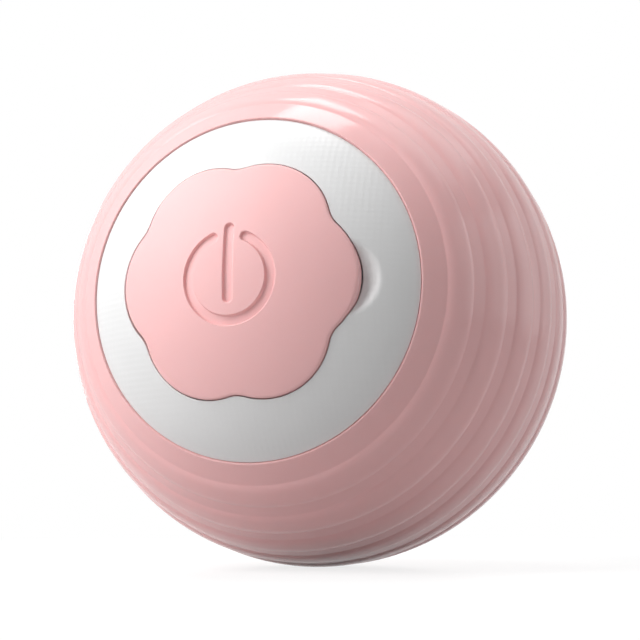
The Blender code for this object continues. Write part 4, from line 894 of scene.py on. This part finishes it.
def bent_wire_tree():
    """A jacketed wire from corner to corner with round bends, its tinned core bare at both ends."""
    tree, given, out = new_group(
        "bent_wire",
        "GeometryNodeTree",
        {
            "Corners": ("Geometry", None),
            "Around": ("Int", 16),
            "Bend Steps": ("Int", 8),
            "Bend Radius": ("Float", 0.0012),
            "Jacket Radius": ("Float", 0.0003),
            "Core Radius": ("Float", 0.00019),
            "Bare End": ("Float", 0.00035),
            "Jacket": ("Material", None),
            "Core": ("Material", None),
        },
        {"Geometry": "Geometry"},
    )
    g = given.outputs
    corners = put(tree, "GeometryNodeMeshToPoints", {"Mesh": g["Corners"]})
    line = put(tree, "GeometryNodePointsToCurves", {"Points": corners.outputs[0]}).outputs[0]
    bends = {"Curve": line, "Count": g["Bend Steps"], "Radius": g["Bend Radius"], "Limit Radius": True}
    bent = put(tree, "GeometryNodeFilletCurve", bends, mode="POLY").outputs[0]
    whole = put(tree, "GeometryNodeCurveLength", {"Curve": bent}).outputs[0]
    stop = sums(tree, "SUBTRACT", whole, g["Bare End"])
    covered = put(tree, "GeometryNodeTrimCurve", {"Curve": bent}, mode="LENGTH")
    tree.links.new(g["Bare End"], covered.inputs[4])
    tree.links.new(stop, covered.inputs[5])
    both = tree.nodes.new("GeometryNodeJoinGeometry")
    for path, look in ((covered.outputs[0], "Jacket"), (bent, "Core")):
        size = {"Resolution": g["Around"], "Radius": g[look + " Radius"]}
        section = put(tree, "GeometryNodeCurvePrimitiveCircle", size)
        shape = {"Curve": path, "Profile Curve": section.outputs[0], "Fill Caps": True}
        tube = put(tree, "GeometryNodeCurveToMesh", shape)
        real = put(tree, "GeometryNodeRealizeInstances", {0: tube.outputs[0]})
        made = put(tree, "GeometryNodeSetMaterial", {"Geometry": real.outputs[0], "Material": g[look]})
        tree.links.new(made.outputs[0], both.inputs[0])
    tree.links.new(both.outputs[0], out.inputs[0])
    return tree


WIRE_TREE = bent_wire_tree()
RED_PVC = finish("red_pvc", (0.55, 0.03, 0.03), (0.48, 0.02, 0.02), 0.38, 0.08, 3000, 300, 0.000003)
BLACK_PVC = finish("black_pvc", (0.03, 0.03, 0.03), (0.02, 0.02, 0.02), 0.38, 0.08, 3000, 300, 0.000003)
MOTOR_LEAD_SIDE = 0.0008
MOTOR_LEAD_DROP = 0.00549
TERMINAL_SIDE = 0.0016
TERMINAL_DROP = 0.00374
BOARD_LEAD_DROP = 0.0086
BATTERY_LEAD_SIDE = 0.0012
BATTERY_LEAD_STEP = 0.0006
TERMINAL_INSET = 0.00017


def add_wire(name, node, look, corners):
    """A wire in its CAD solid's place, through corners given across, up from the axle and out."""
    points = [(x, -out, AXLE_HEIGHT + up) for x, up, out in corners]
    wire = grow(name, WIRE_TREE, {"Jacket": look, "Core": TIN_STEEL}, points)
    settle(wire, 50)
    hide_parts(node)
    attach(wire, "housing")


lead_low, lead_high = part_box("motor_lead_1")
lead_back, lead_front = -lead_high.y + TERMINAL_INSET, -lead_low.y
can_back = -axle_high.y
cover_front = -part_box("gear_cover")[0].y
frame_back = -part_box("gear_frame")[1].y
cell_low, cell_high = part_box("battery_cell")
cell_middle = -(cell_low.y + cell_high.y) / 2
cell_end = cell_high.x + SEAT_GAP
for side, number, colour, look in ((-1, 1, "black_lead", BLACK_PVC), (1, 2, "red_lead", RED_PVC)):
    motor_route = [
        (side * TERMINAL_SIDE, -TERMINAL_DROP, lead_back),
        (side * MOTOR_LEAD_SIDE, -MOTOR_LEAD_DROP, can_back),
        (side * MOTOR_LEAD_SIDE, -MOTOR_LEAD_DROP, cover_front),
        (side * MOTOR_LEAD_SIDE, -BOARD_LEAD_DROP, frame_back),
        (side * MOTOR_LEAD_SIDE, -BOARD_LEAD_DROP, lead_front),
    ]
    add_wire(f"motor_wire_{number}", f"motor_lead_{number}", look, motor_route)
    rise = side * BATTERY_LEAD_SIDE
    battery_route = [
        (cell_end, rise, cell_middle),
        (cell_end + BATTERY_LEAD_STEP, rise, cell_middle + BATTERY_LEAD_STEP),
        (cell_end + BATTERY_LEAD_STEP, rise, lead_front),
    ]
    add_wire(f"battery_wire_{number}", f"battery_lead_{number}", look, battery_route)


# Gear frame and cover.
# Two round plates of black glass-filled resin, screwed together on three spacers, hold the axles. The
# cover's spigot carries the last gear, kept on it by a spring steel ring.

dress(nodes["gear_frame"], BLACK_ABS)
dress(nodes["gear_cover"], BLACK_ABS)
dress(nodes["retaining_ring"], TIN_STEEL)


# Gears and axles.
# Three moulded nylon gears bring the motor's brass pinion down to the weight's slow turn. The first two
# turn on ground steel axles, the last on the cover's spigot.

for name in ("first_gear", "second_gear", "output_gear"):
    dress(nodes[name], NYLON)
GROUND_STEEL = metal("ground_steel", (0.63, 0.63, 0.64), (0.58, 0.58, 0.59), 0.18, (6000, 300, 6000))
for name in ("first_axle", "second_axle", "motor_shaft"):
    dress(nodes[name], GROUND_STEEL)
TURNED_BRASS = metal("turned_brass", (0.75, 0.55, 0.24), (0.66, 0.47, 0.19), 0.25, (400, 6000, 400))
dress(nodes["motor_pinion"], TURNED_BRASS)


# Motor.
# A small can motor: a drawn, nickel-plated can with a boss for the shaft, a nylon cap crimped in its end,
# and two brass terminals for the leads.

dress(nodes["motor_can"], TIN_STEEL)
dress(nodes["motor_end_cap"], NYLON)
for i in (1, 2):
    dress(nodes[f"motor_terminal_{i}"], TURNED_BRASS)


# Swing weight.
# A half ring of plain cast steel hangs from the last gear's flange. As the gear turns, the weight
# climbs and the ball rolls after it.

CAST_STEEL = finish(
    "cast_steel", (0.50, 0.50, 0.51), (0.40, 0.40, 0.42), 0.5, 0.25, 1800, 160, 0.00003, Metallic=1.0
)
dress(nodes["swing_weight"], CAST_STEEL)


# Screws.
# Small slotted pan-head screws in plated steel with rolled threads: three in the frame, three in the cover
# and two in the board, and two longer ones through the weight into the last gear's flange.

SCREW_HEAD_HEIGHT = 0.0005
THREAD_PITCH = 0.00035
THREAD_ROWS = 8


def slotted_screw_tree():
    """One pan-head screw with a slot and a rolled thread, set on every point. Its head looks along +Y."""
    tree, given, out = new_group(
        "slotted_screw",
        "GeometryNodeTree",
        {
            "Seats": ("Geometry", None),
            "Around": ("Int", 24),
            "Along": ("Int", 60),
            "Head Radius": ("Float", 0.0011),
            "Head Height": ("Float", SCREW_HEAD_HEIGHT),
            "Slot Width": ("Float", 0.0003),
            "Slot Depth": ("Float", 0.0002),
            "Shank Radius": ("Float", 0.0006),
            "Shank Length": ("Float", 0.0022),
            "Thread Pitch": ("Float", THREAD_PITCH),
            "Thread Depth": ("Float", 0.00009),
            "Tip Share": ("Float", 0.08),
            "Material": ("Material", None),
        },
        {"Geometry": "Geometry"},
    )
    g = given.outputs

    def turned(profile):
        """A closed skin turned about Y, with a reach and a height for every row and angle."""
        around = sums(tree, "ADD", g["Around"], 1.0)
        grid = put(tree, "GeometryNodeMeshGrid", {0: 1.0, 1: 1.0, 2: around, 3: g["Along"]})
        at = put(tree, "ShaderNodeSeparateXYZ", {0: put(tree, "GeometryNodeInputPosition").outputs[0]})
        angle = sums(tree, "MULTIPLY", at.outputs[0], 2 * math.pi)
        reach, height = profile(at.outputs[1], at.outputs[0])
        x = sums(tree, "MULTIPLY", reach, sums(tree, "COSINE", angle))
        z = sums(tree, "MULTIPLY", reach, sums(tree, "SINE", angle))
        place = put(tree, "ShaderNodeCombineXYZ", {0: x, 1: height, 2: z}).outputs[0]
        skin = put(tree, "GeometryNodeSetPosition", {"Geometry": grid.outputs[0], "Position": place})
        closed = put(tree, "GeometryNodeMergeByDistance", {"Geometry": skin.outputs[0], "Distance": 1e-6})
        return closed.outputs[0]

    def head(row, _turn):
        """Flat below up to the rim, then a square-shouldered dome."""
        below = sums(tree, "MINIMUM", row, 0.0)
        angle = sums(tree, "MULTIPLY", sums(tree, "MAXIMUM", row, 0.0), math.pi)
        flat = sums(tree, "MULTIPLY", g["Head Radius"], sums(tree, "MULTIPLY_ADD", below, 2.0, 1.0))
        dome = sums(tree, "SQRT", sums(tree, "MAXIMUM", sums(tree, "COSINE", angle), 0.0))
        rise = sums(tree, "SQRT", sums(tree, "MAXIMUM", sums(tree, "SINE", angle), 0.0))
        return sums(tree, "MULTIPLY", flat, dome), sums(tree, "MULTIPLY", g["Head Height"], rise)

    def shank(row, turn):
        """A helix of thread from inside the head down to a short cone."""
        half_head = sums(tree, "MULTIPLY", g["Head Height"], 0.5)
        whole = sums(tree, "ADD", g["Shank Length"], half_head)
        down = sums(tree, "MULTIPLY", sums(tree, "ADD", row, 0.5), whole)
        height = sums(tree, "SUBTRACT", half_head, down)
        phase = sums(tree, "ADD", sums(tree, "DIVIDE", height, g["Thread Pitch"]), turn)
        depth = sums(tree, "MULTIPLY", sums(tree, "PINGPONG", phase, 0.5), 2.0)
        depth = sums(tree, "MULTIPLY", depth, g["Thread Depth"])
        reach = sums(tree, "SUBTRACT", g["Shank Radius"], depth)
        end = sums(tree, "SUBTRACT", 0.5, sums(tree, "ABSOLUTE", row))
        end = sums(tree, "MINIMUM", sums(tree, "DIVIDE", end, g["Tip Share"]), 1.0)
        return sums(tree, "MULTIPLY", reach, end), height

    deep = sums(tree, "MULTIPLY", g["Slot Depth"], 2.0)
    across = sums(tree, "MULTIPLY", g["Head Radius"], 3.0)
    size = put(tree, "ShaderNodeCombineXYZ", {0: g["Slot Width"], 1: deep, 2: across})
    block = put(tree, "GeometryNodeMeshCube", {"Size": size.outputs[0]})
    rise = put(tree, "ShaderNodeCombineXYZ", {1: g["Head Height"]})
    move = {"Geometry": block.outputs[0], "Translation": rise.outputs[0]}
    block = put(tree, "GeometryNodeTransform", move)
    cut = {"operation": "DIFFERENCE", "solver": "EXACT"}
    slotted = put(tree, "GeometryNodeMeshBoolean", {0: turned(head)}, **cut)
    tree.links.new(block.outputs[0], slotted.inputs[1])
    screw = tree.nodes.new("GeometryNodeJoinGeometry")
    tree.links.new(slotted.outputs[0], screw.inputs[0])
    tree.links.new(turned(shank), screw.inputs[0])
    seated = {"Points": g["Seats"], "Instance": screw.outputs[0]}
    placed = put(tree, "GeometryNodeInstanceOnPoints", seated)
    real = put(tree, "GeometryNodeRealizeInstances", {0: placed.outputs[0]})
    made = put(tree, "GeometryNodeSetMaterial", {"Geometry": real.outputs[0], "Material": g["Material"]})
    tree.links.new(made.outputs[0], out.inputs[0])
    return tree


SCREW_TREE = slotted_screw_tree()


def add_screws(name, body, counts):
    """A body's screws of one length as one piece, each in its CAD screw's place."""
    held = [f"{prefix}_{i + 1}" for prefix, count in counts.items() for i in range(count)]
    boxes = [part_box(node) for node in held]
    seats = [((lo.x + hi.x) / 2, hi.y - SCREW_HEAD_HEIGHT, (lo.z + hi.z) / 2) for lo, hi in boxes]
    length = boxes[0][1].y - boxes[0][0].y - SCREW_HEAD_HEIGHT
    rows = math.ceil(length / THREAD_PITCH * THREAD_ROWS)
    values = {"Shank Length": length, "Along": rows, "Material": TIN_STEEL}
    screws = grow(name, SCREW_TREE, values, seats)
    settle(screws)
    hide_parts(*held)
    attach(screws, body)


add_screws("case_screws", "housing", {"frame_screw": 3, "cover_screw": 3, "board_screw": 2})
add_screws("weight_screws", "swing_arm", {"weight_screw": 2})


# Studio.
# The camera stands low and to the right of the face, as in the photograph. A large soft lamp at the upper
# left gives the main light and six weaker ones fill in. The camera and gloss see the surround and the floor
# as white, but both light the ball only dimly.

SURROUND = 0.11


def seen_directly(tree):
    """1 where the camera, gloss or glass looks at a surface, and 0 where it only lights others."""
    path = put(tree, "ShaderNodeLightPath").outputs
    seen = sums(tree, "MAXIMUM", path["Is Camera Ray"], path["Is Glossy Ray"])
    return sums(tree, "MAXIMUM", seen, path["Is Transmission Ray"])


def white_behind(world):
    """White where it is seen, and a dim grey fill for all else."""
    world.use_nodes = True
    tree = world.node_tree
    tree.nodes.clear()
    seen = seen_directly(tree)
    level = sums(tree, "MULTIPLY_ADD", seen, 1 - SURROUND, SURROUND)
    light = put(tree, "ShaderNodeBackground", {"Color": (1, 1, 1, 1), "Strength": level})
    out = put(tree, "ShaderNodeOutputWorld")
    tree.links.new(light.outputs[0], out.inputs[0])


scene = bpy.context.scene
scene.world = bpy.data.worlds.new("surround")
white_behind(scene.world)
scene.view_settings.view_transform = "Standard"

FLOOR_SIDE = 4.0
floor = from_faces(
    "pale_floor",
    [(x * FLOOR_SIDE, y * FLOOR_SIDE, 0) for x, y in ((-1, -1), (1, -1), (1, 1), (-1, 1))],
    [(0, 1, 2, 3)],
)
PALE_FLOOR = finish("pale_floor", (0.4, 0.4, 0.4), (0.38, 0.38, 0.38), 0.7, 0.05, 300, 5, 0.00001)


NEAR_GLOW = 0.8
SHADOW_START = 0.02
SHADOW_END = 0.12


def whiten(look):
    """Let the camera see the floor as plain white far off, and shaded by the ball's shadow near it."""
    tree = look.node_tree
    glow = put(tree, "ShaderNodeEmission", {"Strength": 1.0})
    place = put(tree, "ShaderNodeTexCoord").outputs["Object"]
    away = put(tree, "ShaderNodeVectorMath", {0: place}, operation="LENGTH").outputs["Value"]
    reach = {0: away, 1: SHADOW_START, 2: SHADOW_END, 3: NEAR_GLOW, 4: 1.0}
    share = put(tree, "ShaderNodeMapRange", reach).outputs[0]
    seen = seen_directly(tree)
    shader = tree.nodes["Principled BSDF"]
    plain = shader.inputs["Base Color"].links[0].from_socket
    pale = put(tree, "ShaderNodeMix", {0: seen, 6: plain, 7: (0.9, 0.9, 0.9, 1)}, data_type="RGBA")
    fill(tree, shader, {"Base Color": pale.outputs[2]})
    level = sums(tree, "MULTIPLY", seen, share)
    blend = put(tree, "ShaderNodeMixShader", {0: level, 1: shader.outputs[0]})
    tree.links.new(glow.outputs[0], blend.inputs[2])
    tree.links.new(blend.outputs[0], tree.nodes["Material Output"].inputs[0])


whiten(PALE_FLOOR)
dress(floor, PALE_FLOOR)


CENTRE = Vector((0, 0, AXLE_HEIGHT))


def lamp(name, round_deg, up_deg, distance, width, height, watts):
    """A soft box facing the ball's centre, at an angle round it from the front and one up from it."""
    data = bpy.data.lights.new(name, "AREA")
    data.shape = "RECTANGLE"
    data.size = width
    data.size_y = height
    data.energy = watts
    obj = bpy.data.objects.new(name, data)
    scene.collection.objects.link(obj)
    turn, up = math.radians(round_deg), math.radians(up_deg)
    way = (math.sin(turn) * math.cos(up), -math.cos(turn) * math.cos(up), math.sin(up))
    obj.location = (way[0] * distance, way[1] * distance, AXLE_HEIGHT + way[2] * distance)
    obj.rotation_mode = "QUATERNION"
    direction = -(obj.location - CENTRE)
    obj.rotation_quaternion = direction.to_track_quat("-Z", "Y")


lamp("key_soft_box", -46, 38, 0.35, 0.24, 0.24, 1.26)
lamp("low_front_fill", -45, 10, 0.3, 0.1, 0.1, 0.15)
lamp("overhead_box", -118, 88, 0.35, 0.13, 0.13, 0.36)
lamp("top_rear_box", 120, 62, 0.35, 0.2, 0.2, 0.13)
lamp("upper_right_box", 35, 54, 0.35, 0.16, 0.16, 0.08)
lamp("rear_rim_box", 200, 10, 0.3, 0.2, 0.08, 0.6)
lamp("right_side_box", 108, 16, 0.3, 0.26, 0.18, 0.16)

CAMERA_WAY = Vector((0.31069, -0.93753, -0.15658))
CAMERA_DISTANCE = 0.1075
PHOTO_FOCAL_PIXELS = 1211.6
PHOTO_SIDE = 640
SENSOR_WIDTH = 36
camera_data = bpy.data.cameras.new("photo_camera")
camera_data.sensor_width = SENSOR_WIDTH
camera_data.lens = SENSOR_WIDTH * PHOTO_FOCAL_PIXELS / PHOTO_SIDE
camera_data.clip_start = 0.001
camera_data.clip_end = 20
camera = bpy.data.objects.new("photo_camera", camera_data)
scene.collection.objects.link(camera)
camera.location = CENTRE + CAMERA_WAY * CAMERA_DISTANCE
camera.rotation_mode = "QUATERNION"
camera.rotation_quaternion = (-CAMERA_WAY).to_track_quat("-Z", "Y")
scene.camera = camera
